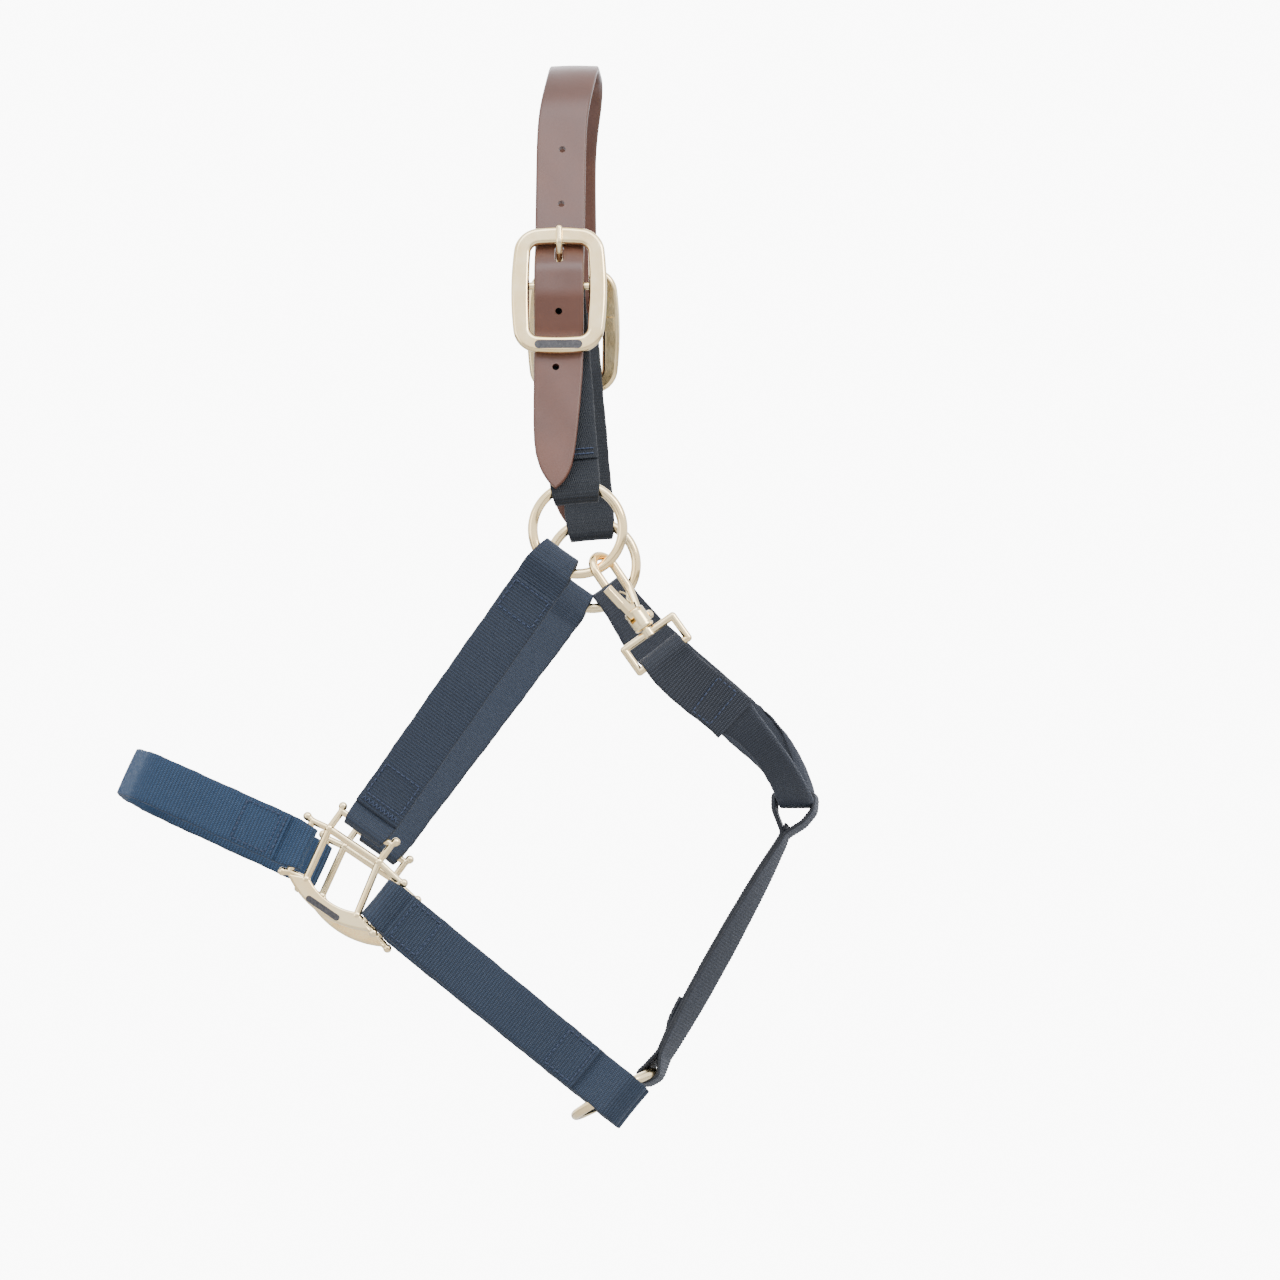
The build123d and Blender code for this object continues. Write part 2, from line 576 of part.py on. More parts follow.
def snap_spring():
    """A bent wire that pushes the gate shut."""
    return tube(snap_plane(), [(2.2, 17.6), (0.8, 20.2), (3.4, 22.0), (1.6, 24.0), (-0.6, 25.4)],
                (0.9, 0.9, 1.0), 0.45)


def snap_swivel_pin():
    spin = snap_plane() * Rot(-90, 0, 0)
    stem = spin * Pos(0, 0, 1.9) * Cylinder(1.5, 7.4)
    head = spin * Pos(0, 0, 6.3) * Cylinder(2.5, 1.6)
    return stem + head


def snap_eye():
    half = EYE_WIDTH / 2
    corners = [eye_point(0, -half), eye_point(0, half), eye_point(EYE_DEPTH, half), eye_point(EYE_DEPTH, -half)]
    spin = snap_plane() * Rot(-90, 0, 0)
    body = spin * Cylinder(3.1, 3.6)
    for a, b in zip(corners, corners[1:] + corners[:1]):
        axis = b - a
        body += Plane(origin=a, z_dir=axis) * Pos(0, 0, axis.length / 2) * Cylinder(EYE_WIRE, axis.length)
        body += Pos(*a) * Sphere(EYE_WIRE)
    return body - spin * Cylinder(1.52, 5)


# ---- stitching ----

def stitch_rows(plane, start, end, half_width):
    """Two long rows and two cross rows of lock stitch, lying on a strap's outer face."""
    length, width, height = STITCH
    stitches = []
    count = max(2, int((end - start) / STITCH_PITCH))
    for side in (-1, 1):
        for i in range(count + 1):
            s = start + (end - start) * i / count
            stitches.append(plane * Pos(s, 0, side * half_width) * Box(length, height, width))
    rows = int(2 * half_width / STITCH_PITCH) - 1
    for s in (start, end):
        for i in range(1, rows + 1):
            w = -half_width + 2 * half_width * i / (rows + 1)
            stitches.append(plane * Pos(s, 0, w) * Box(width, height, length))
    return stitches


def face_frame(plane, a, b):
    """A frame on the strap's outer face between two points of its middle line."""
    start, end = plane.from_local_coords((*a, 0)), plane.from_local_coords((*b, 0))
    along = (end - start).normalized()
    across = plane.z_dir
    outward = across.cross(along)
    outward = outward if outward.Y < 0 else -outward
    origin = start + outward * (RUN / 2 + STITCH[2] / 2 + STITCH_LIFT)
    return Plane(origin=origin, x_dir=along, z_dir=across)


def group(stitches):
    return Compound(children=[s.solid() for s in stitches])


def cheek_stitching():
    plane, length = cheek_line()
    drop = RING_Y - SQUARE_Y
    middle = (length * 0.45, drop * 0.36)
    low = face_frame(plane, (length - 9, drop - 0.8), middle)
    high = face_frame(plane, (9, 0.6), middle)
    return group(stitch_rows(low, 5, 19, 9.0) + stitch_rows(high, 4, 18, 9.0))


def billet_stitching():
    plane, length = billet_line()
    rise = -RING_Y - buckle_point(BAR_H, BAR_N)[0]
    low = face_frame(plane, (length - 9, rise), billet_station(-42.0, -9.1))
    return group([low * Pos(4, 0, w) * Box(STITCH[1], STITCH[2], STITCH[0]) for w in range(-9, 10, 3)])


def noseband_stitching():
    plane = nose_line()
    near = face_frame(plane, (8.5, -SQUARE_Y), (31, -SQUARE_Y + 1.0))
    rows = stitch_rows(near, 1.5, 13, 9.0)
    return group(rows + [off_side(s) for s in rows])


def chin_stitching():
    plane, length = chin_line()
    rise = SQUARE_Y - RING_RADIUS
    middle = (length * 0.5, rise * 0.42)
    high = face_frame(plane, (8.5, 0.4), middle)
    low = face_frame(plane, (length - 13, rise - 3.0), middle)
    return group(stitch_rows(high, 4, 16, 9.0) + stitch_rows(low, 5, 17, 9.0))


def connector_stitching():
    climb = radians(CHIN_RING_ANGLE)
    wire = Vector(CHIN_RING_X + RING_RADIUS * cos(climb), 0, CHIN_RING_Z + RING_RADIUS * sin(climb))
    top = Vector(CONNECTOR_TOP[0], 0, CONNECTOR_TOP[1])
    along = (top - wire).normalized()
    outward = Vector(along.Z, 0, -along.X)
    lift = outward * (RUN / 2 + STITCH[2] / 2)
    low = Plane(origin=wire + along * 14 + lift, x_dir=along, z_dir=along.cross(outward))
    high = Plane(origin=top - along * 4 + lift, x_dir=-along, z_dir=along.cross(outward))
    return group(stitch_rows(low, 0, 12, 9.0) + stitch_rows(high, 0, 12, 9.0))


def throat_stitching():
    a, b = Vector(*THROAT[0][0]), Vector(*THROAT[1][0])
    along = (b - a).normalized()
    across = Vector(*THROAT[0][1]).cross(along).normalized()
    outward = along.cross(across)
    outward = outward if outward.Y < 0 else -outward
    start = a + outward * (RUN / 2 + STITCH[2] / 2 + 0.8)
    near = Plane(origin=start, x_dir=along, z_dir=across)
    return group(stitch_rows(near, 1, 7, 9.0))


def main():
    os.makedirs("parts", exist_ok=True)
    save(crown_strap(), "crown_strap")
    paired = {"buckle_frame": buckle_frame(), "buckle_bar": buckle_bar(), "buckle_tongue": buckle_tongue(),
              "buckle_plaque": buckle_plaque(), "billet": billet(), "cheek_ring": cheek_ring(),
              "cheek_strap": cheek_strap(), "square": square_fitting(), "square_plaque": plaque_shape(0.5),
              "chin_strap": chin_strap(), "billet_stitching": billet_stitching(),
              "cheek_stitching": cheek_stitching(), "chin_stitching": chin_stitching()}
    for name, shape in paired.items():
        save(shape, f"near_{name}")
        save(off_side(shape), f"off_{name}")
    single = {"noseband": noseband(), "chin_ring": chin_ring(), "connector_strap": connector_strap(),
              "throat_strap": throat_strap(), "snap_hook": snap_hook(), "snap_gate": snap_gate(),
              "snap_gate_pin": snap_gate_pin(), "snap_spring": snap_spring(), "snap_swivel_pin": snap_swivel_pin(),
              "snap_eye": snap_eye(), "noseband_stitching": noseband_stitching(),
              "connector_stitching": connector_stitching(), "throat_stitching": throat_stitching()}
    for name, shape in single.items():
        save(shape, name)


main()
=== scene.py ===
import json
from math import acos, cos, pi, radians, sin, sqrt, tan

import bpy
import numpy as np
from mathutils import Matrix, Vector


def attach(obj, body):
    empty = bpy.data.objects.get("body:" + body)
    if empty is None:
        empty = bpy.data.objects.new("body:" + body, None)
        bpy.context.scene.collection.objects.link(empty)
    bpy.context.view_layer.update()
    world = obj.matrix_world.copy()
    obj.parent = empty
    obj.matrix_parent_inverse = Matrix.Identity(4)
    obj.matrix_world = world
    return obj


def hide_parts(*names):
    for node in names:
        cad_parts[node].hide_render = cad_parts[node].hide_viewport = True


# Horse headcollar: detailed leather, webbing and stitching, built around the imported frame.
# Lengths here are millimetres in the frame's axes; mesh_object() turns them into metres.

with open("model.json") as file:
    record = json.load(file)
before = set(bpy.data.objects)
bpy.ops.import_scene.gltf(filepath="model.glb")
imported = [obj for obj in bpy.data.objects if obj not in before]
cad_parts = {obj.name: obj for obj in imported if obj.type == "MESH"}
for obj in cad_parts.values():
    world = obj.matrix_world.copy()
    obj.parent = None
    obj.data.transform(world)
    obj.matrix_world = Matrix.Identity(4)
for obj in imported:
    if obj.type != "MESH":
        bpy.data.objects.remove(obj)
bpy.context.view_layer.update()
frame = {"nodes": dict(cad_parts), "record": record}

home = {n: body for body, nodes in frame["record"]["behaviour"]["bodies"].items() for n in nodes}

# ---- driving dimensions, the same as the CAD part's ----
PLY = 2.0
WEB_HALF = 12.5
RIB = 1.65                   # distance between the webbing's cross ribs
RIB_HEIGHT = 0.34
BUCKLE_TILT = radians(10.0)
BUCKLE_Y, BUCKLE_Z = -89.5, -119.5
BAR_H, BAR_N = 3.5, -4.2
TIP = (-104.6, -220.5)
RING_X, RING_Y, RING_Z, RING_RADIUS, WIRE_RADIUS = 9.7, 96.0, -240.4, 22.5, 2.5
SQUARE_Y, LOOP_BAR = 64.0, 1.7
SQUARE_TL, SQUARE_TR = (-116.4, -387.9), (-91.4, -404.8)
SQUARE_BR, SQUARE_BL = (-102.4, -431.6), (-128.0, -413.4)
NOSE_ANGLE = radians(24.6)
NOSE_ARM = (-cos(NOSE_ANGLE), sin(NOSE_ANGLE))
CHEEK_ARM, CHIN_ARM = (0.59, 0.81), (0.73, -0.68)
CHIN_RING_X, CHIN_RING_Z, CHIN_RING_ANGLE = 24.9, -518.2, radians(28.5)
JUNCTION_X, JUNCTION_Z, GATHERED_WIDTH = 116.0, -371.5, 16.0
CONNECTOR_TOP = (110.6, -388.5)
EYE_BAR = (45.1, -98.0, -292.8)
EYE_ANGLE, EYE_DEPTH, EYE_WIRE = radians(35.4), 13.5, 1.9


# ---- lines ----

def unit(v):
    v = np.asarray(v, float)
    return v / np.linalg.norm(v)


def arc_lengths(points):
    return np.concatenate([[0], np.cumsum(np.linalg.norm(np.diff(points, axis=0), axis=1))])


def round_line(points, radii, steps=28):
    """A line with rounded corners."""
    p = [np.array(q, float) for q in points]
    line = [p[0]]
    for before, corner, after, radius in zip(p, p[1:], p[2:], radii):
        u, v = unit(before - corner), unit(after - corner)
        half = acos(np.clip(u @ v, -1, 1)) / 2
        start, end = corner + u * radius / tan(half), corner + v * radius / tan(half)
        centre = corner + unit(u + v) * radius / sin(half)
        line += [centre + unit(start + (end - start) * t - centre) * radius for t in np.linspace(0, 1, steps)]
    line.append(p[-1])
    return np.array(line)


def hull(points):
    """Convex hull, anticlockwise."""
    points = sorted(set((round(float(x), 5), round(float(y), 5)) for x, y in points))

    def chain(ordered):
        kept = []
        for p in ordered:
            while len(kept) > 1 and ((kept[-1][0] - kept[-2][0]) * (p[1] - kept[-2][1])
                                     - (kept[-1][1] - kept[-2][1]) * (p[0] - kept[-2][0])) <= 0:
                kept.pop()
            kept.append(p)
        return kept[:-1]
    return chain(points) + chain(points[::-1])


def fold(bars, radius, meet, gap=PLY / 2):
    """The middle line of webbing folded round circles at bars, from above the point meet to below it."""
    turns = np.linspace(0, 2 * pi, 96, endpoint=False)
    rings = [(x + radius * cos(a), y + radius * sin(a)) for x, y in bars for a in turns]
    upper = (round(meet[0], 5), round(meet[1] + gap, 5))
    lower = (round(meet[0], 5), round(meet[1] - gap, 5))
    outline = hull(rings + [upper, lower])
    i = outline.index(upper)
    outline = outline[i:] + outline[:i]
    if outline[1] == lower:
        outline = [outline[0]] + outline[:0:-1]
    return np.array(outline)


def resample(rows, step=None, count=None, dims=3):
    """Rows spaced evenly along the line that their first columns make."""
    rows = np.asarray(rows, float)
    keep = np.concatenate([[True], np.linalg.norm(np.diff(rows[:, :dims], axis=0), axis=1) > 1e-6])
    rows = rows[keep]
    s = arc_lengths(rows[:, :dims])
    count = count or max(4, int(round(s[-1] / step)) + 1)
    t = np.linspace(0, s[-1], count)
    return np.stack([np.interp(t, s, rows[:, k]) for k in range(rows.shape[1])], 1)


def smooth(rows, reach):
    """Gaussian smoothing over reach rows that holds the end rows."""
    n = int(3 * reach) + 1
    kernel = np.exp(-0.5 * (np.arange(-n, n + 1) / reach) ** 2)
    kernel /= kernel.sum()
    head = 2 * rows[0] - rows[n:0:-1]
    tail = 2 * rows[-1] - rows[-2:-n - 2:-1]
    padded = np.vstack([head, rows, tail])
    return np.stack([np.convolve(padded[:, k], kernel, "valid") for k in range(rows.shape[1])], 1)


def through(points, per=24):
    """A Catmull-Rom line through rows of numbers."""
    p = np.asarray(points, float)
    p = np.vstack([2 * p[0] - p[1], p, 2 * p[-1] - p[-2]])
    t = np.linspace(0, 1, per, endpoint=False)[:, None]
    rows = []
    for a, b, c, d in zip(p, p[1:], p[2:], p[3:]):
        rows.append(0.5 * (2 * b + (c - a) * t + (2 * a - 5 * b + 4 * c - d) * t ** 2
                           + (3 * b - a - 3 * c + d) * t ** 3))
    return np.vstack(rows + [p[-2:-1]])


class Flat:
    """A strap's side view: x along the strap, y is the frame's Y, and its width runs along across."""

    def __init__(self, origin, along):
        self.origin = np.array(origin, float)
        self.along = unit(along)
        across = np.array((-self.along[2], 0, self.along[0]))
        self.across = across if np.cross(across, self.along)[1] > 0 else -across

    def at(self, points):
        points = np.asarray(points, float)
        return self.origin + points[:, :1] * self.along + points[:, 1:2] * np.array((0, 1, 0))


def offset(line, distance):
    """A side-view line moved to its left by distance."""
    d = np.gradient(line, axis=0)
    d /= np.linalg.norm(d, axis=1)[:, None]
    return line + np.stack([-d[:, 1], d[:, 0]], 1) * np.asarray(distance).reshape(-1, 1)


# ---- webbing ----

class Pieces:
    """Collects several closed bands into one mesh, with a place along, across and on the ribs for each point."""

    def __init__(self):
        self.verts, self.faces, self.marks, self.count = [], [], [], 0

    def add(self, verts, faces, marks):
        self.verts.append(np.asarray(verts, float))
        self.marks.append(np.asarray(marks, float))
        self.faces += [tuple(i + self.count for i in f) for f in faces]
        self.count += len(verts)

    def grid(self, rings, marks, closed=False):
        """rings is (stations, points round the section, 3)."""
        n, m = rings.shape[:2]
        faces = [(i * m + j, i * m + (j + 1) % m, (i + 1) * m + (j + 1) % m, (i + 1) * m + j)
                 for i in range(n - 1) for j in range(m)]
        if closed:
            faces += [((n - 1) * m + j, (n - 1) * m + (j + 1) % m, (j + 1) % m, j) for j in range(m)]
        else:
            half = m // 2
            for base, turn in ((0, 1), ((n - 1) * m, -1)):
                for j in range(half - 1):
                    quad = (base + j, base + m - 1 - j, base + m - 2 - j, base + j + 1)
                    faces.append(quad[::turn])
        self.add(rings.reshape(-1, 3), faces, marks.reshape(-1, 3))

    def mirrored(self):
        other = Pieces()
        other.add(np.vstack(self.verts) * (1, -1, 1), [f[::-1] for f in self.faces], np.vstack(self.marks))
        return other


def ribs(s):
    return np.abs(np.sin(pi * s / RIB)) ** 0.7


def band(pieces, centre, across, half, thick=PLY - 0.1, curl=0.25, flap=None, columns=13, start=0.0):
    """A ribbed band. centre, across and half are sampled along it; flap is how much of its width is folded under."""
    rows = np.hstack([centre, np.broadcast_to(across, centre.shape), np.broadcast_to(half, len(centre))[:, None],
                      np.broadcast_to(0.0 if flap is None else flap, len(centre))[:, None]])
    length = arc_lengths(rows[:, :3])[-1]
    rows = resample(rows, count=int(round(length / RIB * 4)) + 1)
    rows = smooth(rows, 2.2)
    c, w, h, f = rows[:, :3], rows[:, 3:6], rows[:, 6], rows[:, 7]
    s = arc_lengths(c)
    t = np.gradient(c, axis=0)
    t /= np.linalg.norm(t, axis=1)[:, None]
    w = w - t * np.sum(w * t, axis=1)[:, None]
    w /= np.linalg.norm(w, axis=1)[:, None]
    n = np.cross(t, w)
    rib = ribs(s)
    edge_wave = 0.10 * np.sin(s / 4.1 + c[:, 2] * 0.05) + 0.07 * np.sin(s / 1.7 + 1.3)
    fade = np.minimum(1, np.minimum(s, s[-1] - s) / 1.2)
    u_soft = 0.75
    face = np.linspace(-1, 1, columns)
    spec = ([(u, 1.0, 1.0, 0.0) for u in face]
            + [(1.0, 0.74, 0.35, 0.53), (1.0, 0.0, 0.0, 0.75), (1.0, -0.74, 0.35, 0.53)]
            + [(u, -1.0, 1.0, 0.0) for u in face[::-1]]
            + [(-1.0, -0.74, 0.35, 0.53), (-1.0, 0.0, 0.0, 0.75), (-1.0, 0.74, 0.35, 0.53)])
    rings = np.zeros((len(s), len(spec), 3))
    marks = np.zeros((len(s), len(spec), 3))
    for k, (u, v, ribbed, out) in enumerate(spec):
        width = h + edge_wave - u_soft
        x = u * (width + (out if abs(u) == 1 else 0.0))
        lift = v * (thick / 2 * (0.82 + 0.18 * fade)) + np.sign(v) * ribbed * RIB_HEIGHT * (rib - 0.6)
        lift = lift - curl * (x / h) ** 2
        place = w * x[:, None] + n * lift[:, None] if flap is None else folded(x, lift, h, f, w, n)
        rings[:, k] = c + place
        # the third mark, the rib height, is low or zero at the band's side edges and also drives the painted groove
        # and edge shade of the webbing material
        marks[:, k] = np.stack([s + start, x, ribbed * rib], 1)
    pieces.grid(rings, marks)
    return Track(c, t, w, n, s, thick)


def folded(x, lift, half, flap, w, n):
    """Where a point of a band goes when flap of its width is folded under along one edge."""
    radius = 1.25 * np.clip(flap / 4.0, 0.02, 1)
    crease = half - flap
    middle = (-half + crease) / 2
    turn = np.clip((x - crease) / radius, 0, pi)
    past = np.maximum(x - crease - pi * radius, 0)
    u = np.where(x < crease, x, crease + radius * np.sin(turn) - past)
    v = -radius * (1 - np.cos(turn))
    nu, nv = np.sin(turn), np.cos(turn)
    return w * (u - middle + nu * lift)[:, None] + n * (v + nv * lift)[:, None]


class Track:
    """The line of a band's outer face, for laying stitches on."""

    def __init__(self, c, t, w, n, s, thick):
        self.c, self.t, self.w, self.n, self.s, self.thick = c, t, w, n, s, thick

    def at(self, s, u, side=1):
        rows = [np.array([np.interp(s, self.s, a[:, k]) for k in range(3)]) for a in (self.c, self.t, self.w, self.n)]
        c, t, w, n = rows
        return c + w * u + n * side * (self.thick / 2 + RIB_HEIGHT * 0.42 - 0.25 * (u / WEB_HALF) ** 2), t, w, n * side


# ---- stitches ----

def stitch(pieces, place, along, out, length=2.5, width=0.75, height=0.42):
    """One lock stitch: a short arched thread whose ends sink into the cloth."""
    along, out = unit(along), unit(out)
    across = np.cross(along, out)
    rings, marks = [], []
    for t in np.linspace(-1, 1, 7):
        size = max(0.25, sqrt(1 - abs(t) ** 3))
        rise = height * (1 - t * t) - 0.12
        ring = [place + along * t * length / 2 + across * cos(a) * width / 2 * size
                + out * (rise + sin(a) * 0.26 * size) for a in np.linspace(0, 2 * pi, 8, endpoint=False)]
        rings.append(ring)
        marks.append([(t * length, a, 1.0) for a in range(8)])
    pieces.grid(np.array(rings), np.array(marks))


def stitch_line(pieces, track, a, b, side=1, pitch=3.1):
    """Stitches along a line on a track, from (s, u) to (s, u)."""
    a, b = np.array(a, float), np.array(b, float)
    count = max(1, int(round(np.linalg.norm(b - a) / pitch)))
    for i in range(count):
        s, u = a + (b - a) * (i + 0.5) / count
        place, t, w, n = track.at(s, u, side)
        stitch(pieces, place, t * (b - a)[0] + w * (b - a)[1], n)


def bar_tack(pieces, track, s, half, side=1, rows=9, reach=2.6):
    """A zigzag row across the strap."""
    us = np.linspace(-half, half, rows * 2 + 1)
    for i, (u0, u1) in enumerate(zip(us, us[1:])):
        s0, s1 = (s, s + reach) if i % 2 else (s + reach, s)
        place, t, w, n = track.at((s0 + s1) / 2, (u0 + u1) / 2, side)
        stitch(pieces, place, t * (s1 - s0) + w * (u1 - u0), n, length=2.9, width=0.6)


def stitch_box(pieces, track, s0, s1, half=10.2, side=1):
    for a, b in (((s0, -half), (s1, -half)), ((s0, half), (s1, half)), ((s0, -half), (s0, half)),
                 ((s1, -half), (s1, half))):
        stitch_line(pieces, track, a, b, side)


# ---- making objects ----

def mesh_object(name, pieces, material, body, replaced=()):
    verts = np.vstack(pieces.verts) / 1000
    mesh = bpy.data.meshes.new(name)
    mesh.from_pydata(verts.tolist(), [], pieces.faces)
    mesh.validate()
    mark = mesh.attributes.new("web", "FLOAT_VECTOR", "POINT")
    mark.data.foreach_set("vector", np.vstack(pieces.marks).astype(np.float32).ravel())
    mesh.polygons.foreach_set("use_smooth", [True] * len(mesh.polygons))
    mesh.materials.append(material)
    obj = bpy.data.objects.new(name, mesh)
    bpy.context.scene.collection.objects.link(obj)
    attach(obj, body)
    if replaced:
        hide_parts(*replaced)
    return obj


# ---- materials ----

class Nodes:
    """A short way to write a node material."""

    def __init__(self, name):
        self.material = bpy.data.materials.new(name)
        self.material.use_nodes = True
        self.tree = self.material.node_tree
        self.shader = self.tree.nodes["Principled BSDF"]

    def add(self, kind, **settings):
        node = self.tree.nodes.new(kind)
        for key, value in settings.items():
            if key.startswith("in_"):
                socket = node.inputs[int(key[3:]) if key[3:].isdigit() else key[3:].replace("_", " ")]
                if isinstance(value, bpy.types.NodeSocket):
                    self.tree.links.new(value, socket)
                else:
                    socket.default_value = value
            else:
                setattr(node, key, value)
        return node

    def link(self, a, b):
        self.tree.links.new(a, b)

    def math(self, operation, a, b=0.0, clamp=False):
        return self.add("ShaderNodeMath", operation=operation, use_clamp=clamp, in_0=a, in_1=b).outputs[0]

    def mix(self, factor, a, b):
        node = self.add("ShaderNodeMix", data_type="RGBA")
        for socket, value in ((node.inputs[0], factor), (node.inputs[6], a), (node.inputs[7], b)):
            if isinstance(value, bpy.types.NodeSocket):
                self.link(value, socket)
            else:
                socket.default_value = value
        return node.outputs[2]

    def noise(self, scale, detail=3.0, rough=0.5, vector=None):
        vector = vector or self.add("ShaderNodeTexCoord").outputs["Object"]
        return self.add("ShaderNodeTexNoise", in_Vector=vector, in_Scale=scale, in_Detail=detail,
                        in_Roughness=rough).outputs["Fac"]

    def ramp(self, value, stops):
        node = self.add("ShaderNodeValToRGB", in_Fac=value)
        elements = node.color_ramp.elements
        while len(elements) < len(stops):
            elements.new(0.5)
        for element, (place, colour) in zip(elements, stops):
            element.position = place
            element.color = colour if len(colour) == 4 else (*colour, 1)
        return node.outputs["Color"]

    def bump(self, height, strength, distance):
        return self.add("ShaderNodeBump", in_Strength=strength, in_Distance=distance,
                        in_Height=height).outputs["Normal"]


def srgb(r, g, b):
    """A colour given in the 0-255 screen scale, as linear light."""
    return tuple(((c / 255 + 0.055) / 1.055) ** 2.4 if c > 10 else c / 255 / 12.92 for c in (r, g, b))


def tint(colour, factor):
    return tuple(min(1.0, c * factor) for c in colour)


def webbing_material(name, colour, worn):
    m = Nodes(name)
    mark = m.add("ShaderNodeAttribute", attribute_name="web")
    split = m.add("ShaderNodeSeparateXYZ", in_0=mark.outputs["Vector"])
    along, across, rib = split.outputs
    row = m.math("FLOOR", m.math("DIVIDE", along, RIB))
    shift = m.math("MULTIPLY", row, pi)
    cell = m.math("SINE", m.math("ADD", m.math("MULTIPLY", across, 2 * pi / 0.92), shift))
    cell = m.math("MULTIPLY_ADD", cell, 0.5)
    cell.node.inputs[2].default_value = 0.5
    patch = m.noise(38.0, 3.0, 0.55)
    fine = m.noise(900.0, 2.0, 0.6)
    # painted shade: the base colour runs from a tenth of the webbing's colour where the rib mark is low, in the
    # grooves between ribs and at the band's side edges, up to 1.45 times it on the rib crowns, with the weave cells
    # mixed in
    crown = m.math("MULTIPLY", rib, m.math("MULTIPLY_ADD", cell, 0.45))
    crown.node.inputs[1].links[0].from_node.inputs[2].default_value = 0.62
    base = m.mix(crown, (*tint(colour, 0.1), 1), (*tint(colour, 1.45), 1))
    base = m.mix(m.math("MULTIPLY", m.math("POWER", patch, 2.2), worn, clamp=True), base, (*tint(colour, 1.9), 1))
    base = m.mix(m.math("MULTIPLY", fine, 0.35), base, (*tint(colour, 0.55), 1))
    m.link(base, m.shader.inputs["Base Color"])
    m.shader.inputs["Metallic"].default_value = 0.0
    m.shader.inputs["Specular IOR Level"].default_value = 0.42
    m.shader.inputs["Sheen Weight"].default_value = 0.22
    m.shader.inputs["Sheen Roughness"].default_value = 0.4
    m.shader.inputs["Sheen Tint"].default_value = (*tint(colour, 5.5), 1)
    rough = m.add("ShaderNodeMapRange", in_0=fine, in_1=0.3, in_2=0.7, in_3=0.42, in_4=0.62)
    m.link(rough.outputs[0], m.shader.inputs["Roughness"])
    threads = m.math("SINE", m.math("MULTIPLY", along, 2 * pi / 0.33))
    height = m.math("ADD", m.math("MULTIPLY", cell, rib), m.math("MULTIPLY", threads, 0.12))
    height = m.math("ADD", height, m.math("MULTIPLY", fine, 0.5))
    m.link(m.bump(height, 0.9, 0.00028), m.shader.inputs["Normal"])
    return m.material


def thread_material(name, colour):
    m = Nodes(name)
    mark = m.add("ShaderNodeAttribute", attribute_name="web")
    split = m.add("ShaderNodeSeparateXYZ", in_0=mark.outputs["Vector"])
    twist = m.math("SINE", m.math("ADD", m.math("MULTIPLY", split.outputs[0], 9.0),
                                  m.math("MULTIPLY", split.outputs[1], 0.8)))
    shade = m.math("MULTIPLY_ADD", twist, 0.5)
    shade.node.inputs[2].default_value = 0.5
    base = m.mix(shade, (*tint(colour, 0.6), 1), (*tint(colour, 1.25), 1))
    m.link(base, m.shader.inputs["Base Color"])
    m.shader.inputs["Roughness"].default_value = 0.5
    m.shader.inputs["Sheen Weight"].default_value = 0.3
    m.link(m.bump(shade, 0.6, 0.00012), m.shader.inputs["Normal"])
    return m.material


def leather_material():
    """Brown bridle leather: waxed grain outside, a raw flesh side and burnished dark edges."""
    m = Nodes("crown_leather")
    mark = m.add("ShaderNodeAttribute", attribute_name="web")
    split = m.add("ShaderNodeSeparateXYZ", in_0=mark.outputs["Vector"])
    flesh, edge = split.outputs[1], split.outputs[2]
    cloud = m.noise(22.0, 4.0, 0.6)
    pores = m.add("ShaderNodeTexVoronoi", feature="DISTANCE_TO_EDGE", in_Scale=1150.0,
                  in_Vector=m.add("ShaderNodeTexCoord").outputs["Object"]).outputs["Distance"]
    fine = m.noise(1500.0, 3.0, 0.65)
    stretch = m.add("ShaderNodeMapping", in_Vector=m.add("ShaderNodeTexCoord").outputs["Object"],
                    in_Rotation=(0.0, 0.42, 0.0), in_Scale=(420.0, 60.0, 14.0)).outputs[0]
    scuff = m.noise(1.0, 2.0, 0.5, stretch)
    grain = m.ramp(cloud, [(0.3, srgb(84, 52, 40)), (0.55, srgb(100, 63, 48)), (0.8, srgb(116, 75, 58))])
    grain = m.mix(m.math("MULTIPLY", m.math("GREATER_THAN", scuff, 0.71), 0.22), grain, (*srgb(90, 62, 54), 1))
    grain = m.mix(m.math("MULTIPLY", fine, 0.25), grain, (*srgb(90, 58, 46), 1))
    back = m.mix(fine, (*srgb(150, 118, 96), 1), (*srgb(176, 146, 122), 1))
    base = m.mix(flesh, grain, back)
    base = m.mix(m.math("MULTIPLY", edge, 0.72), base, (*srgb(70, 46, 40), 1))
    m.link(base, m.shader.inputs["Base Color"])
    rough = m.add("ShaderNodeMapRange", in_0=cloud, in_1=0.3, in_2=0.75, in_3=0.34, in_4=0.46).outputs[0]
    rough = m.math("ADD", rough, m.math("MULTIPLY", flesh, 0.4), clamp=True)
    m.link(rough, m.shader.inputs["Roughness"])
    m.shader.inputs["Specular IOR Level"].default_value = 0.45
    m.shader.inputs["Coat Weight"].default_value = 0.25
    m.shader.inputs["Coat Roughness"].default_value = 0.3
    height = m.math("ADD", m.math("MULTIPLY", pores, 0.9), m.math("MULTIPLY", fine, 0.5))
    height = m.math("ADD", height, m.math("MULTIPLY", scuff, 0.4))
    m.link(m.bump(height, 0.35, 0.00012), m.shader.inputs["Normal"])
    return m.material


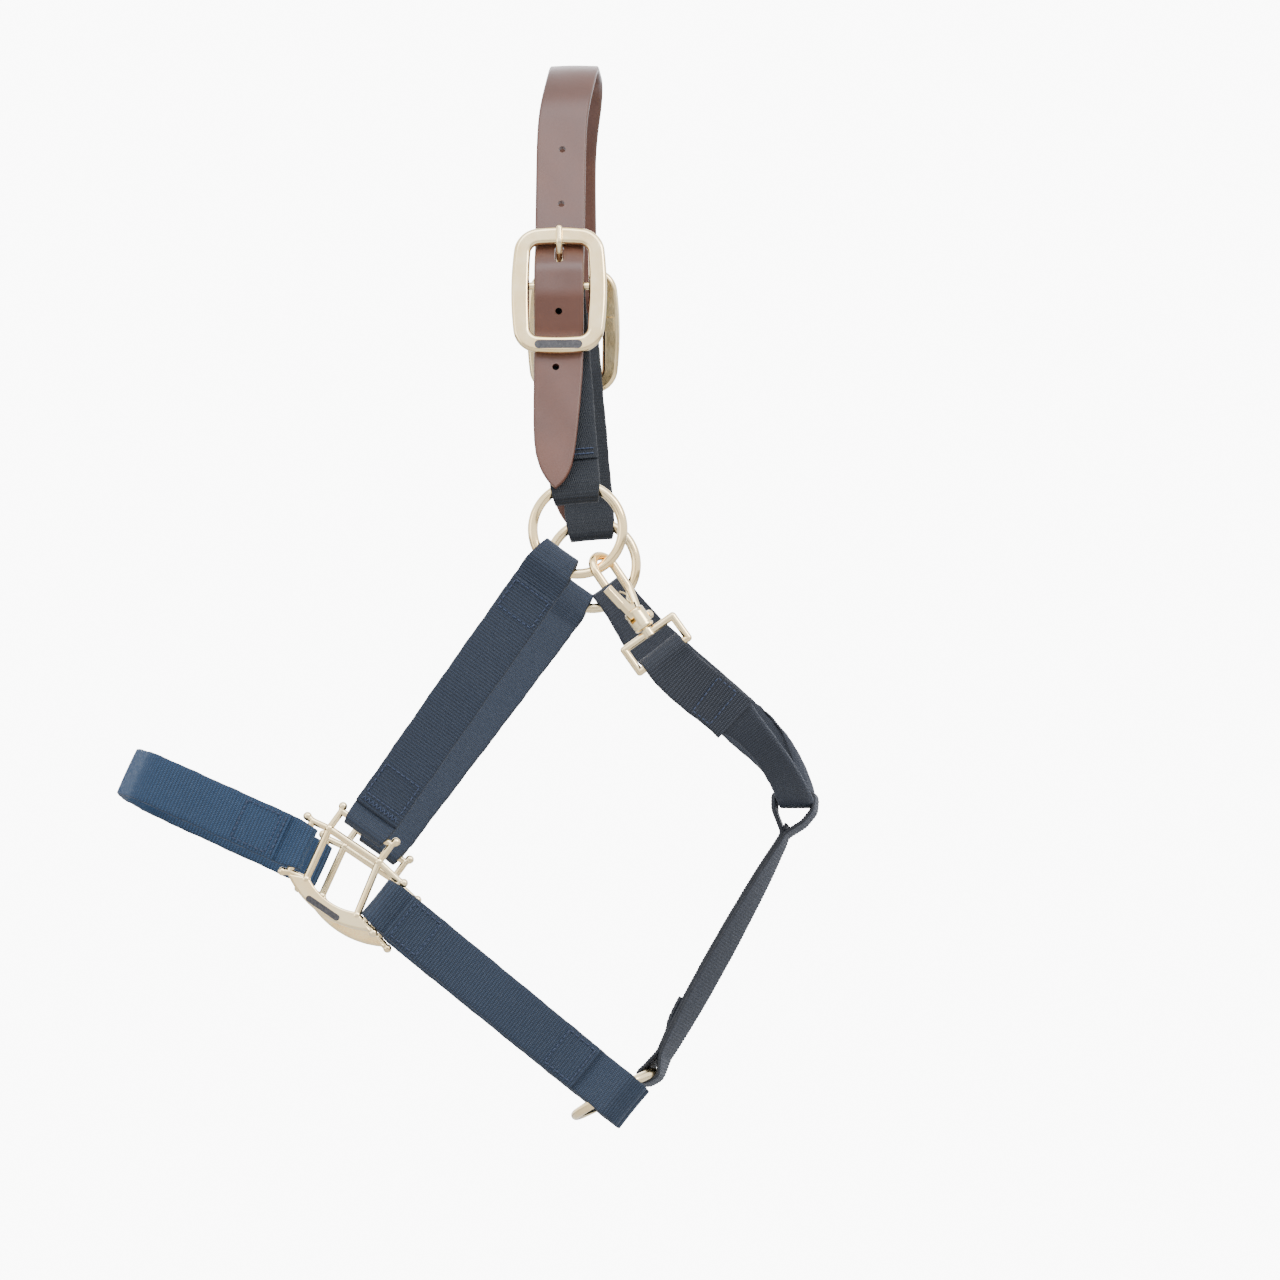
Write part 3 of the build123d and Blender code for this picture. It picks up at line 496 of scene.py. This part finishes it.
def metal_material(name, bright, dull, rough_low, rough_high, dirt):
    m = Nodes(name)
    cloud = m.noise(45.0, 4.0, 0.6)
    fine = m.noise(1400.0, 2.0, 0.6)
    base = m.ramp(cloud, [(0.3, dull), (0.62, bright)])
    tarnish = m.noise(160.0, 5.0, 0.7)
    base = m.mix(m.math("MULTIPLY", m.math("GREATER_THAN", tarnish, 0.66), dirt), base, (*tint(dull, 0.55), 1))
    m.link(base, m.shader.inputs["Base Color"])
    m.shader.inputs["Metallic"].default_value = 1.0
    rough = m.add("ShaderNodeMapRange", in_0=cloud, in_1=0.3, in_2=0.7, in_3=rough_low, in_4=rough_high)
    m.link(rough.outputs[0], m.shader.inputs["Roughness"])
    m.shader.inputs["Coat Weight"].default_value = 0.25
    m.shader.inputs["Coat Roughness"].default_value = 0.08
    m.link(m.bump(m.math("ADD", m.math("MULTIPLY", cloud, 1.0), m.math("MULTIPLY", fine, 0.06)), 0.18, 0.0008),
           m.shader.inputs["Normal"])
    return m.material


def enamel_material():
    m = Nodes("plaque_enamel")
    speck = m.noise(700.0, 4.0, 0.7)
    base = m.ramp(speck, [(0.35, srgb(44, 43, 46)), (0.7, srgb(82, 79, 80))])
    m.link(base, m.shader.inputs["Base Color"])
    m.shader.inputs["Roughness"].default_value = 0.42
    m.link(m.bump(speck, 0.4, 0.0001), m.shader.inputs["Normal"])
    return m.material


# one navy webbing in lit and shaded copies, as painted light and shade: the noseband's copy is painted lighter and
# bluer, the cheek and chin copies darker, and the throat and connector copy darkest
web_nose_painted_lit = webbing_material("webbing_noseband_painted_lit", srgb(28, 58, 88), 0.3)
web_cheek = webbing_material("webbing_cheek", srgb(33, 45, 62), 0.3)
web_chin = webbing_material("webbing_chin", srgb(32, 48, 68), 0.3)
web_painted_shade = webbing_material("webbing_throat_painted_shade", srgb(29, 35, 46), 0.3)
web_billet = webbing_material("webbing_billet", srgb(6, 14, 24), 0.3)
thread = thread_material("navy_thread", srgb(26, 46, 78))
leather = leather_material()
brass = metal_material("pale_brass", srgb(255, 232, 180), srgb(248, 212, 148), 0.14, 0.24, 0.15)
steel = metal_material("spring_steel", srgb(222, 205, 160), srgb(180, 160, 120), 0.2, 0.3, 0.4)
enamel = enamel_material()

SLOT_MATERIAL = {"brass": brass, "spring_steel": steel, "plaque_fill": enamel}


# ---- straps ----

def webbing_strap(plane, line, first, last, half_at, laps, rise=1.0, tail=7.0):
    """A folded strap between two bars: one ply goes round both, and a second ply lies over its tails."""
    pieces = Pieces()
    middle = resample(line, step=0.5, dims=2)
    s = arc_lengths(middle)
    total = s[-1]
    start_fold = fold(*first)
    end_fold = fold(*last)
    # offset() moves to the left, which is +y for a line that runs along +x; the outer ply is on the other side
    under = offset(middle, PLY / 2)
    lifted = PLY / 2 + rise * (np.exp(-(s / 8.0) ** 2) + np.exp(-((total - s) / 8.0) ** 2))
    over = offset(middle, -lifted)
    tail_line = offset(middle, -0.28)
    head = tail_line[s <= tail][::-1]
    foot = tail_line[s >= total - tail][::-1]
    loop = np.vstack([head, start_fold[::-1][2:-1], under, end_fold[1:-2], foot])
    loop = resample(loop, step=0.35, dims=2)
    loop = smooth(loop, 2.4)
    band(pieces, plane.at(loop), plane.across, half_at(loop[:, 0]), start=0.0)
    kept = (s >= laps[0]) & (s <= total - laps[1])
    over = over[kept]
    track = band(pieces, plane.at(over), plane.across, half_at(over[:, 0]) + 0.12, start=3.0)
    return pieces, track


def taper(wide, narrow, half, full=WEB_HALF):
    """A half width that draws in from full at wide to half at narrow."""
    return lambda x: full + (half - full) * np.clip((x - wide) / (narrow - wide), 0, 1.25)


def both_sides(kind, pieces, material):
    mesh_object(f"near_{kind}_web", pieces, material, home[f"near_{kind}"], [f"near_{kind}"])
    mesh_object(f"off_{kind}_web", pieces.mirrored(), material, home[f"off_{kind}"], [f"off_{kind}"])


def both_threads(kind, pieces):
    mesh_object(f"near_{kind}_thread", pieces, thread, home[f"near_{kind}_stitching"],
                [f"near_{kind}_stitching"])
    mesh_object(f"off_{kind}_thread", pieces.mirrored(), thread, home[f"off_{kind}_stitching"],
                [f"off_{kind}_stitching"])


def middle_of(a, b):
    return ((a[0] + b[0]) / 2, (a[1] + b[1]) / 2)


def narrowest(*widths):
    return lambda x: np.minimum.reduce([w(x) for w in widths])


def reach(corner, direction, distance):
    d = unit(direction)
    return (corner[0] + d[0] * distance, corner[1] + d[1] * distance)


nose_bar = middle_of(reach(SQUARE_TL, NOSE_ARM, 9.2), reach(SQUARE_BL, NOSE_ARM, 9.2))
cheek_bar = middle_of(reach(SQUARE_TL, CHEEK_ARM, 10.8), reach(SQUARE_TR, CHEEK_ARM, 10.8))
chin_bar = middle_of(reach(SQUARE_TR, CHIN_ARM, 14.6), reach(SQUARE_BR, CHIN_ARM, 4.8))

# cheek straps, from the cheek ring to the square
foot = cheek_bar
along = unit((foot[0] - RING_X, 0, foot[1] - RING_Z))
top = np.array((RING_X, -RING_Y, RING_Z)) + along * RING_RADIUS
cheek_length = sqrt((foot[0] - top[0]) ** 2 + (foot[1] - top[2]) ** 2)
cheek_plane = Flat(top, along)
drop = RING_Y - SQUARE_Y
cheek_run = round_line([(10, 0.7), (cheek_length * 0.45, drop * 0.36), (cheek_length - 9, drop - 0.8)], [150])
cheek_half = narrowest(taper(2.5, -10, 9.8), taper(cheek_length - 6, cheek_length + 3, 11.3))
pieces, track = webbing_strap(cheek_plane, cheek_run, ([(0.4, 0), (-5.2, 0)], WIRE_RADIUS + 1.35, (10, 0.7)),
                              ([(cheek_length - 0.7, drop), (cheek_length + 0.7, drop)], LOOP_BAR + 1.15,
                               (cheek_length - 9, drop - 0.8)), cheek_half, (3.0, 0.0))
both_sides("cheek_strap", pieces, web_cheek)
stitches = Pieces()
length = track.s[-1]
stitch_box(stitches, track, 2.0, 18.0)
stitch_box(stitches, track, length - 24.0, length - 6.5)
bar_tack(stitches, track, length - 4.6, 10.6)
both_threads("cheek", stitches)

# noseband
foot = nose_bar
nose_plane = Flat((foot[0], 0, foot[1]), (-cos(NOSE_ANGLE), 0, sin(NOSE_ANGLE)))
nose_half_line = [(8.5, -SQUARE_Y), (31, -SQUARE_Y + 1.0), (86.8, -57), (98.8, -20)]
nose_run = round_line(nose_half_line + [(a, -b) for a, b in nose_half_line[::-1]], [80, 15.3, 34, 34, 15.3, 80])
fold_near = ([(-0.7, -SQUARE_Y), (0.7, -SQUARE_Y)], LOOP_BAR + 1.15, (9, -SQUARE_Y))
fold_far = ([(-0.7, SQUARE_Y), (0.7, SQUARE_Y)], LOOP_BAR + 1.15, (9, SQUARE_Y))
pieces, track = webbing_strap(nose_plane, nose_run, fold_near, fold_far, taper(7, -3, 11.2), (1.0, 1.0))
mesh_object("noseband_web", pieces, web_nose_painted_lit, home["noseband"], ["noseband"])
stitches = Pieces()
length = track.s[-1]
stitch_line(stitches, track, (2.2, -10.6), (2.2, 10.6))
stitch_line(stitches, track, (length - 2.2, -10.6), (length - 2.2, 10.6))
stitch_box(stitches, track, 5.0, 24.0)
stitch_box(stitches, track, length - 24.0, length - 5.0)
mesh_object("noseband_thread", stitches, thread, home["noseband_stitching"], ["noseband_stitching"])

# chin straps, from the square to the chin ring
start = chin_bar
end = (CHIN_RING_X, CHIN_RING_Z)
chin_length = sqrt((end[0] - start[0]) ** 2 + (end[1] - start[1]) ** 2)
chin_plane = Flat((start[0], -SQUARE_Y, start[1]), (end[0] - start[0], 0, end[1] - start[1]))
climb = SQUARE_Y - RING_RADIUS
chin_run = round_line([(9.0, 0.4), (chin_length * 0.5, climb * 0.42), (chin_length - 16, climb - 3.6)], [220])
fold_square = ([(-0.7, 0), (0.7, 0)], LOOP_BAR + 1.15, (9.0, 0.4))
fold_ring = ([(chin_length - 5.8, climb + 5.6), (chin_length + 5.8, climb + 5.6), (chin_length, climb + 0.2)],
             WIRE_RADIUS + 2.5, (chin_length - 16, climb - 3.6))
pieces, track = webbing_strap(chin_plane, chin_run, fold_square, fold_ring, taper(5, -4, 11.2), (1.0, 2.0))
both_sides("chin_strap", pieces, web_chin)
stitches = Pieces()
length = track.s[-1]
stitch_box(stitches, track, 3.0, 20.0)
stitch_box(stitches, track, length - 20.0, length - 3.0)
both_threads("chin", stitches)


# billets, from the buckle's centre bar to the cheek ring
def buckle_point(height, out):
    return (BUCKLE_Y + height * sin(BUCKLE_TILT) - out * cos(BUCKLE_TILT),
            BUCKLE_Z + height * cos(BUCKLE_TILT) + out * sin(BUCKLE_TILT))


bar_y, bar_z = buckle_point(BAR_H, BAR_N)
along = unit((8.4, 0, RING_Z + RING_RADIUS - bar_z))
billet_length = (bar_z - RING_Z - RING_RADIUS) / -along[2]
billet_plane = Flat((0, bar_y, bar_z), along)
rise = -RING_Y - bar_y


def billet_station(height, out):
    y, z = buckle_point(height, out)
    return ((bar_z - z) / cos(radians(4.8)), y - bar_y)


billet_run = round_line([billet_station(-8.5, -6.9), billet_station(-19.0, -9.1), billet_station(-42.0, -9.1),
                         (billet_length - 9, rise)], [20, 20])
pieces, track = webbing_strap(billet_plane, billet_run,
                              ([(-1.2, 0), (1.2, 0)], 2.0 + 1.12, tuple(billet_run[0])),
                              ([(billet_length - 0.4, rise), (billet_length + 5.2, rise)], WIRE_RADIUS + 1.35,
                               (billet_length - 9, rise)), taper(billet_length + 1, billet_length + 12, 10.6),
                              (1.0, 3.0), rise=0.6)
both_sides("billet", pieces, web_billet)
stitches = Pieces()
length = track.s[-1]
stitch_line(stitches, track, (length - 2.5, -10.6), (length - 2.5, 10.6), pitch=2.2)
stitch_line(stitches, track, (length - 5.2, -10.6), (length - 5.2, 10.6), pitch=2.2)
both_threads("billet", stitches)

# connector, from the chin ring to the throat strap
wire = np.array((CHIN_RING_X + RING_RADIUS * cos(CHIN_RING_ANGLE), CHIN_RING_Z + RING_RADIUS * sin(CHIN_RING_ANGLE)))
up = unit(np.array(CONNECTOR_TOP) - wire)
sideways = np.array((-up[1], up[0]))
connector_length = float(np.linalg.norm(np.array(CONNECTOR_TOP) - wire))


def local(point):
    d = np.array(point) - wire
    return (float(d @ up), float(d @ sideways))


def turned(points):
    """The connector's side-view points in the frame, with the strap's own slow twist, and its width direction."""
    points = np.asarray(points, float)
    share = np.clip(points[:, 0] / connector_length, 0, 1)
    angle = radians(5) + radians(20) * np.sin(pi * share) ** 0.7 * (1 - 0.35 * share)
    flat = wire + points[:, :1] * up
    centre = np.stack([flat[:, 0], np.zeros(len(flat)), flat[:, 1]], 1)
    side = np.stack([np.full(len(flat), sideways[0]), np.zeros(len(flat)), np.full(len(flat), sideways[1])], 1)
    width = np.array((0.0, 1.0, 0.0))
    lean, turn = np.cos(angle)[:, None], np.sin(angle)[:, None]
    return centre + points[:, 1:2] * (side * lean + width * turn), width * lean - side * turn


back = wire - 4.4 * np.array((cos(CHIN_RING_ANGLE), sin(CHIN_RING_ANGLE)))
half_gather = GATHERED_WIDTH / 2
loop_top = JUNCTION_Z + PLY + 0.5
corners = [(JUNCTION_X - half_gather - 0.6, loop_top + 0.8), (JUNCTION_X + half_gather + 1.0, loop_top + 0.8),
           (JUNCTION_X + half_gather + 0.4, JUNCTION_Z - 3.0), (JUNCTION_X + 3.5, JUNCTION_Z - 9.0),
           (JUNCTION_X - half_gather - 0.6, JUNCTION_Z - 3.0)]
ring_fold = fold([local(wire), local(back)], WIRE_RADIUS + 1.35, (10.0, 0.0))
top_fold = fold([local(p) for p in corners], 1.9, local((CONNECTOR_TOP[0] + 0.3, CONNECTOR_TOP[1] + 1.5)), 0.9)
run = np.linspace(12, connector_length - 2, 120)
lap = 1.95 / (1 + np.exp(-(run - 24) / 1.6))
front = np.stack([run, np.full(len(run), 1.0)], 1)
rear = np.stack([run, np.full(len(run), -1.0)], 1)
lapped = np.stack([run, 1.0 + lap], 1)
pieces = Pieces()
strap_line = np.vstack([front[run > 16], top_fold, rear[::-1], ring_fold[::-1], lapped[run < 40]])
strap_line = smooth(resample(strap_line, step=0.35, dims=2), 2.2)
centre, width = turned(strap_line)
gather = np.where(strap_line[:, 0] > connector_length - 12, 10.6, WEB_HALF - 0.3)
gather = np.where(strap_line[:, 0] < 6, 10.5, gather)
gather = smooth(gather[:, None], 12)[:, 0]
track = band(pieces, centre, width, gather, curl=0.4)
nib = np.stack([np.linspace(connector_length - 6, connector_length + 6.5, 24), np.linspace(0.2, 1.6, 24)], 1)
centre, width = turned(nib)
band(pieces, centre, width, 9.6, thick=1.5, curl=0.1)
mesh_object("connector_strap_web", pieces, web_painted_shade, home["connector_strap"], ["connector_strap"])
stitches = Pieces()
length = track.s[-1]
for a, b in ((length - 15.5, length - 2.5), (2.0, 15.0)):
    stitch_box(stitches, track, a, b, half=9.6)
    stitch_box(stitches, track, a, b, half=9.6, side=-1)
mesh_object("connector_thread", stitches, thread, home["connector_stitching"], ["connector_stitching"])

# throat strap, from the snap's eye under the throat to the off cheek ring
THROAT = [
    ((57.0, -97.4, -309.0), (0, -1, 0), 25.0),
    ((65.6, -93.6, -317.0), (0.05, -1, -0.1), 25.0),
    ((80.5, -86.0, -328.4), (0.1, -1, -0.15), 25.0),
    ((92.0, -76.5, -338.2), (0.15, -1, -0.3), 16.0),
    ((101.5, -64.0, -348.4), (0.2, -1, -0.55), 13.4),
    ((108.6, -48.0, -358.2), (0.2, -0.8, -0.8), 14.0),
    ((113.2, -31.0, -366.0), (0.15, -0.5, -0.9), 15.0),
    ((115.6, -15.0, -370.6), (0.05, -0.2, -1), 16.0),
    ((JUNCTION_X, 0, JUNCTION_Z), (0, 0, -1), GATHERED_WIDTH),
    ((116.2, 15.0, -370.0), (0.05, 0.2, -1), 16.0),
    ((115.0, 31.0, -363.6), (0.2, 0.5, -0.9), 16.5),
    ((111.0, 48.0, -353.6), (0.3, 0.8, -0.8), 17.5),
    ((103.6, 64.0, -341.6), (0.3, 1, -0.5), 20.0),
    ((91.5, 78.5, -327.6), (0.2, 1, -0.3), 24.0),
    ((75.0, 89.0, -311.8), (0.1, 1, -0.15), 25.0),
    ((55.0, 94.8, -294.0), (0, 1, -0.05), 25.0),
    ((38.0, 96.0, -278.6), (0, 1, 0), 25.0),
]
PER = 40
rows = through([(*m, *o, w) for m, o, w in THROAT], PER)
middle, facing = rows[:, :3], rows[:, 3:6]
tangent = np.gradient(middle, axis=0)
tangent /= np.linalg.norm(tangent, axis=1)[:, None]
facing = facing - tangent * np.sum(facing * tangent, axis=1)[:, None]
facing /= np.linalg.norm(facing, axis=1)[:, None]
sidew = np.cross(facing, tangent)
flap = np.clip(2 * WEB_HALF - rows[:, 6], 0, None)
hem = np.clip(flap / 3.5, 0, 1)
hem = hem * hem * (3 - 2 * hem)
main = middle + facing * (-PLY / 2 + 1.9 * hem)[:, None]

eye_bar = np.array((EYE_BAR[0] + EYE_DEPTH * sin(EYE_ANGLE), EYE_BAR[1], EYE_BAR[2] - EYE_DEPTH * cos(EYE_ANGLE)))
off_along = unit((THROAT[-1][0][0] - RING_X, 0, THROAT[-1][0][2] - RING_Z))
off_bar = np.array((RING_X, RING_Y, RING_Z)) + off_along * RING_RADIUS


def throat_end(bar, meet, bars, radius, near):
    """The fold round a bar, from the outer face to the inner one, with its width direction."""
    way = np.array(meet) - bar
    plane = Flat(bar, (way[0], 0, way[2]))
    line = fold(bars, radius, (sqrt(way[0] ** 2 + way[2] ** 2) + 0.4, way[1]))
    line = line[::-1] if near else line
    return plane.at(line), np.broadcast_to(plane.across, (len(line), 3))


NEAR_TAIL, OFF_TAIL = int(2.55 * PER), int(13.5 * PER)
lift_near = 1.05 + 2.2 * np.exp(-((NEAR_TAIL - np.arange(NEAR_TAIL + 1)) / 11.0))
near_tail = (middle[:NEAR_TAIL + 1] + facing[:NEAR_TAIL + 1] * lift_near[:, None])[::-1]
count_off = len(middle) - OFF_TAIL
lift_off = 1.05 + 0.8 * np.exp(-np.arange(count_off) / 8.0)
off_tail = middle[OFF_TAIL:] + facing[OFF_TAIL:] * lift_off[:, None]
near_fold, near_w = throat_end(eye_bar, THROAT[0][0], [(1.0, 0), (-1.2, 0)], EYE_WIRE + 1.2, True)
off_fold, off_w = throat_end(off_bar, THROAT[-1][0], [(1.0, 0), (-5.2, 0)], WIRE_RADIUS + 1.35, False)
line = np.vstack([near_tail, near_fold[1:-1], main, off_fold[::-1][1:-1], off_tail[::-1]])
wide = np.vstack([sidew[:NEAR_TAIL + 1][::-1], near_w[1:-1], sidew, off_w[1:-1], sidew[OFF_TAIL:][::-1]])
folds = np.concatenate([np.zeros(NEAR_TAIL + 1), np.zeros(len(near_fold) - 2), flap,
                        np.zeros(len(off_fold) - 2), np.zeros(count_off)])
halves = np.concatenate([np.full(NEAR_TAIL + 1, WEB_HALF + 0.1), np.full(len(near_fold) - 2, WEB_HALF - 0.6),
                         np.full(len(main), WEB_HALF - 0.1), np.full(len(off_fold) - 2, 9.8),
                         np.full(count_off, WEB_HALF)])
packed = resample(np.hstack([line, wide, halves[:, None], folds[:, None]]), step=0.35)
packed = smooth(packed, 3.0)
halves = smooth(packed[:, 6:7], 14)[:, 0]
pieces = Pieces()
track = band(pieces, packed[:, :3], packed[:, 3:6], halves, flap=np.clip(packed[:, 7], 0, None), columns=21)
mesh_object("throat_strap_web", pieces, web_painted_shade, home["throat_strap"], ["throat_strap"])
stitches = Pieces()
stitch_box(stitches, track, 9.0, 21.0, half=10.4, side=-1)
mesh_object("throat_thread", stitches, thread, home["throat_stitching"], ["throat_stitching"])


# crownpiece
CROWN_HALF, CROWN_THICK = 12.5, 3.5
UNDER_N, OVER_N = -4.7, 2.6
near_line = [(-50.0, CROWN_THICK / 2), buckle_point(24.2, UNDER_N), buckle_point(12.0, OVER_N),
             buckle_point(-3.0, OVER_N), buckle_point(-21.0, UNDER_N), buckle_point(-34.0, UNDER_N), TIP]
near_radii = [45.0, 9.0, 10.0, 10.0, 12.0, 60.0]
crown_line = round_line(near_line[::-1] + [(-y, z) for y, z in near_line], near_radii[::-1] + near_radii)
crown_line = smooth(resample(crown_line, step=0.7, dims=2), 1.6)
s = arc_lengths(crown_line)
from_tip = np.minimum(s, s[-1] - s)
TIP_STEPS = [0, 0.7, 2.2, 4.5, 8, 12, 18, 25, 34, 46, 60, 80]
TIP_LEFT = [-1.6, -2.3, -3.9, -5.6, -7.8, -9.5, -11.2, -12.1, -12.5, -12.6, -12.5, -12.5]
TIP_RIGHT = [-0.5, 0.4, 2.0, 3.9, 5.9, 7.2, 8.3, 9.2, 10.1, 11.1, 12.0, 12.5]
left_edge = np.interp(from_tip, TIP_STEPS, TIP_LEFT)
right_edge = np.interp(from_tip, TIP_STEPS, TIP_RIGHT)
lean = 5.0 * np.exp(-((crown_line[:, 1] - 4) / 24) ** 2)
t = np.gradient(crown_line, axis=0)
t /= np.linalg.norm(t, axis=1)[:, None]
normal = np.stack([np.zeros(len(t)), -t[:, 1], t[:, 0]], 1)
normal *= np.sign(normal[len(t) // 2, 2])
face = np.linspace(-1, 1, 25)
round_edge = [(0.34, 0.93), (0.72, 0.68), (0.97, 0.3), (1.0, 0.0), (0.97, -0.3), (0.72, -0.68), (0.34, -0.93)]
spec = ([(u, 0.0, 1.0, 0, 0.12 if abs(u) > 0.97 else 0.0) for u in face]
        + [(1, out, v, 0, 1.0) for out, v in round_edge]
        + [(u, 0.0, -1.0, 1, 0.0) for u in face[::-1]]
        + [(-1, out, v, 0, 1.0) for out, v in round_edge[::-1]])
rings = np.zeros((len(s), len(spec), 3))
marks = np.zeros((len(s), len(spec), 3))
EDGE = 0.95
for k, (u, out, v, back_face, edge_mark) in enumerate(spec):
    low, high = left_edge + EDGE, right_edge - EDGE
    pinch = np.minimum(1, (right_edge - left_edge) / (2 * EDGE + 0.2))
    x = (low + high) / 2 + u * np.maximum(high - low, 0.05) / 2 + (u * out * EDGE * pinch if out else 0)
    bow = 0.16 * np.sin(s / 17 + 0.6) * np.sin(x / 9) + 0.08 * np.sin(s / 6.3 + x / 4)
    crown_face = 0.22 * (1 - (x / CROWN_HALF) ** 2)
    lift = v * CROWN_THICK / 2 * (0.93 if v > 0 else 1.0) + (crown_face if v > 0 else 0) * (v > 0.9) + bow
    rings[:, k] = np.stack([x + lean, crown_line[:, 0], crown_line[:, 1]], 1) + normal * lift[:, None]
    marks[:, k] = np.stack([s, np.full(len(s), back_face), np.full(len(s), edge_mark)], 1)
pieces = Pieces()
pieces.grid(rings, marks)
crown = mesh_object("crown_leather_strap", pieces, leather, home["crown_strap"], ["crown_strap"])

# punched holes and the tongue slots
cutters = Pieces()


def cutter(centre, out, length, radius, reach_up=0.0, sides=28):
    """A round punch, or a long one whose two ends are reach_up apart."""
    out = unit(out)
    across = np.array((1.0, 0, 0))
    climb_way = np.cross(across, out)
    climb_way = climb_way if climb_way[2] > 0 else -climb_way
    rings = []
    for end in (-length / 2, length / 2):
        ring = []
        for i in range(sides):
            a = 2 * pi * i / sides
            ring.append(np.array(centre) + out * end + across * cos(a) * radius
                        + climb_way * (sin(a) * radius + (reach_up / 2 if sin(a) > 0 else -reach_up / 2)))
        rings.append(ring)
    rings = np.array(rings)
    faces = [(j, (j + 1) % sides, sides + (j + 1) % sides, sides + j) for j in range(sides)]
    faces += [tuple(range(sides))[::-1], tuple(range(sides, 2 * sides))]
    cutters.add(rings.reshape(-1, 3), faces, np.tile((0.0, 0.0, 1.0), (2 * sides, 1)))


HOLES = [(0.6, -46.0), (0.5, -74.5), (0.0, -130.0), (-1.4, -158.5)]
for side in (-1, 1):
    for x, z in HOLES:
        rows_here = np.where(crown_line[:, 0] * side > 0)[0]
        i = rows_here[np.argmin(np.abs(crown_line[rows_here, 1] - z))]
        cutter((x + lean[i], crown_line[i, 0], crown_line[i, 1]), normal[i], 7.0, 1.75)
    y, z = buckle_point(19.0, -2.0)
    tilted = np.array((0, -cos(BUCKLE_TILT), sin(BUCKLE_TILT))) * (1, -side, 1)
    cutter((0, -side * y, z), tilted, 14.0, 2.35, 5.6)
cut_mesh = bpy.data.meshes.new("punches")
cut_mesh.from_pydata((np.vstack(cutters.verts) / 1000).tolist(), [], cutters.faces)
punches = bpy.data.objects.new("punches", cut_mesh)
bpy.context.scene.collection.objects.link(punches)
cut = crown.modifiers.new("punch", "BOOLEAN")
cut.operation, cut.solver, cut.object = "DIFFERENCE", "EXACT", punches
bpy.context.view_layer.update()
punched = bpy.data.meshes.new_from_object(crown.evaluated_get(bpy.context.evaluated_depsgraph_get()))
crown.modifiers.clear()
crown.data = punched
bpy.data.objects.remove(punches)
punched.polygons.foreach_set("use_smooth", [True] * len(punched.polygons))
punched.set_sharp_from_angle(angle=radians(48))

# hardware from the frame
for name, node in frame["nodes"].items():
    if node.hide_render:
        continue
    kind = "brass"
    if "plaque" in name:
        kind = "plaque_fill"
    elif name == "snap_spring":
        kind = "spring_steel"
    node.data.materials.clear()
    node.data.materials.append(SLOT_MATERIAL[kind])


# ---- camera, light and stage ----

def area_light(name, place, aim, size, power, colour):
    data = bpy.data.lights.new(name, "AREA")
    data.shape = "RECTANGLE"
    data.size, data.size_y = size
    data.energy = power
    data.color = colour
    light = bpy.data.objects.new(name, data)
    light.location = place
    light.rotation_euler = (Vector(aim) - Vector(place)).to_track_quat("-Z", "Y").to_euler()
    bpy.context.scene.collection.objects.link(light)


MIDDLE = (0.02, 0.0, -0.28)
area_light("sky", (0.2, -1.9, 2.1), MIDDLE, (3.4, 1.9), 85, (0.86, 0.91, 1.0))
area_light("left_fill", (-2.2, -1.6, 0.0), MIDDLE, (1.2, 1.8), 14, (1.0, 0.98, 0.95))
area_light("right_key", (1.9, -1.5, 1.2), MIDDLE, (1.0, 1.0), 42, (1.0, 0.97, 0.93))
area_light("back_light", (-0.4, 2.2, 0.9), MIDDLE, (2.0, 1.6), 28, (0.96, 0.97, 1.0))

world = bpy.data.worlds.new("studio")
bpy.context.scene.world = world
world.use_nodes = True
tree = world.node_tree
background = tree.nodes["Background"]
seen = tree.nodes.new("ShaderNodeBackground")
seen.inputs["Color"].default_value = (1, 1, 1, 1)
seen.inputs["Strength"].default_value = 10.0
paths = tree.nodes.new("ShaderNodeLightPath")
mixed = tree.nodes.new("ShaderNodeMixShader")
tree.links.new(paths.outputs["Is Camera Ray"], mixed.inputs[0])
tree.links.new(background.outputs[0], mixed.inputs[1])
tree.links.new(seen.outputs[0], mixed.inputs[2])
tree.links.new(mixed.outputs[0], tree.nodes["World Output"].inputs["Surface"])
background.inputs["Color"].default_value = (0.93, 0.95, 1.0, 1)
glossy = tree.nodes.new("ShaderNodeMapRange")
tree.links.new(paths.outputs["Is Glossy Ray"], glossy.inputs[0])
glossy.inputs[3].default_value = 0.55
glossy.inputs[4].default_value = 2.0
tree.links.new(glossy.outputs[0], background.inputs["Strength"])

FLOOR_Z = -0.9
floor_mesh = bpy.data.meshes.new("floor")
turns = np.linspace(0, 2 * pi, 64, endpoint=False)
floor_mesh.from_pydata([(14 * cos(a), 14 * sin(a), FLOOR_Z) for a in turns], [], [tuple(range(64))])
floor = bpy.data.objects.new("floor", floor_mesh)
bpy.context.scene.collection.objects.link(floor)
m = Nodes("studio_floor")
m.link(m.ramp(m.noise(3.0), [(0.3, (0.80, 0.80, 0.80)), (0.7, (0.84, 0.84, 0.84))]), m.shader.inputs["Base Color"])
m.shader.inputs["Roughness"].default_value = 0.9
floor_mesh.materials.append(m.material)

camera_data = bpy.data.cameras.new("camera")
camera_data.lens, camera_data.sensor_width = 337.5, 36.0
camera_data.clip_end = 100
camera = bpy.data.objects.new("camera", camera_data)
camera.location = (0.24926, -6.06353, -0.81855)
aim = Vector((0.04066, -0.09, -0.29561))
camera.rotation_euler = (aim - camera.location).to_track_quat("-Z", "Y").to_euler()
bpy.context.scene.collection.objects.link(camera)
bpy.context.scene.camera = camera
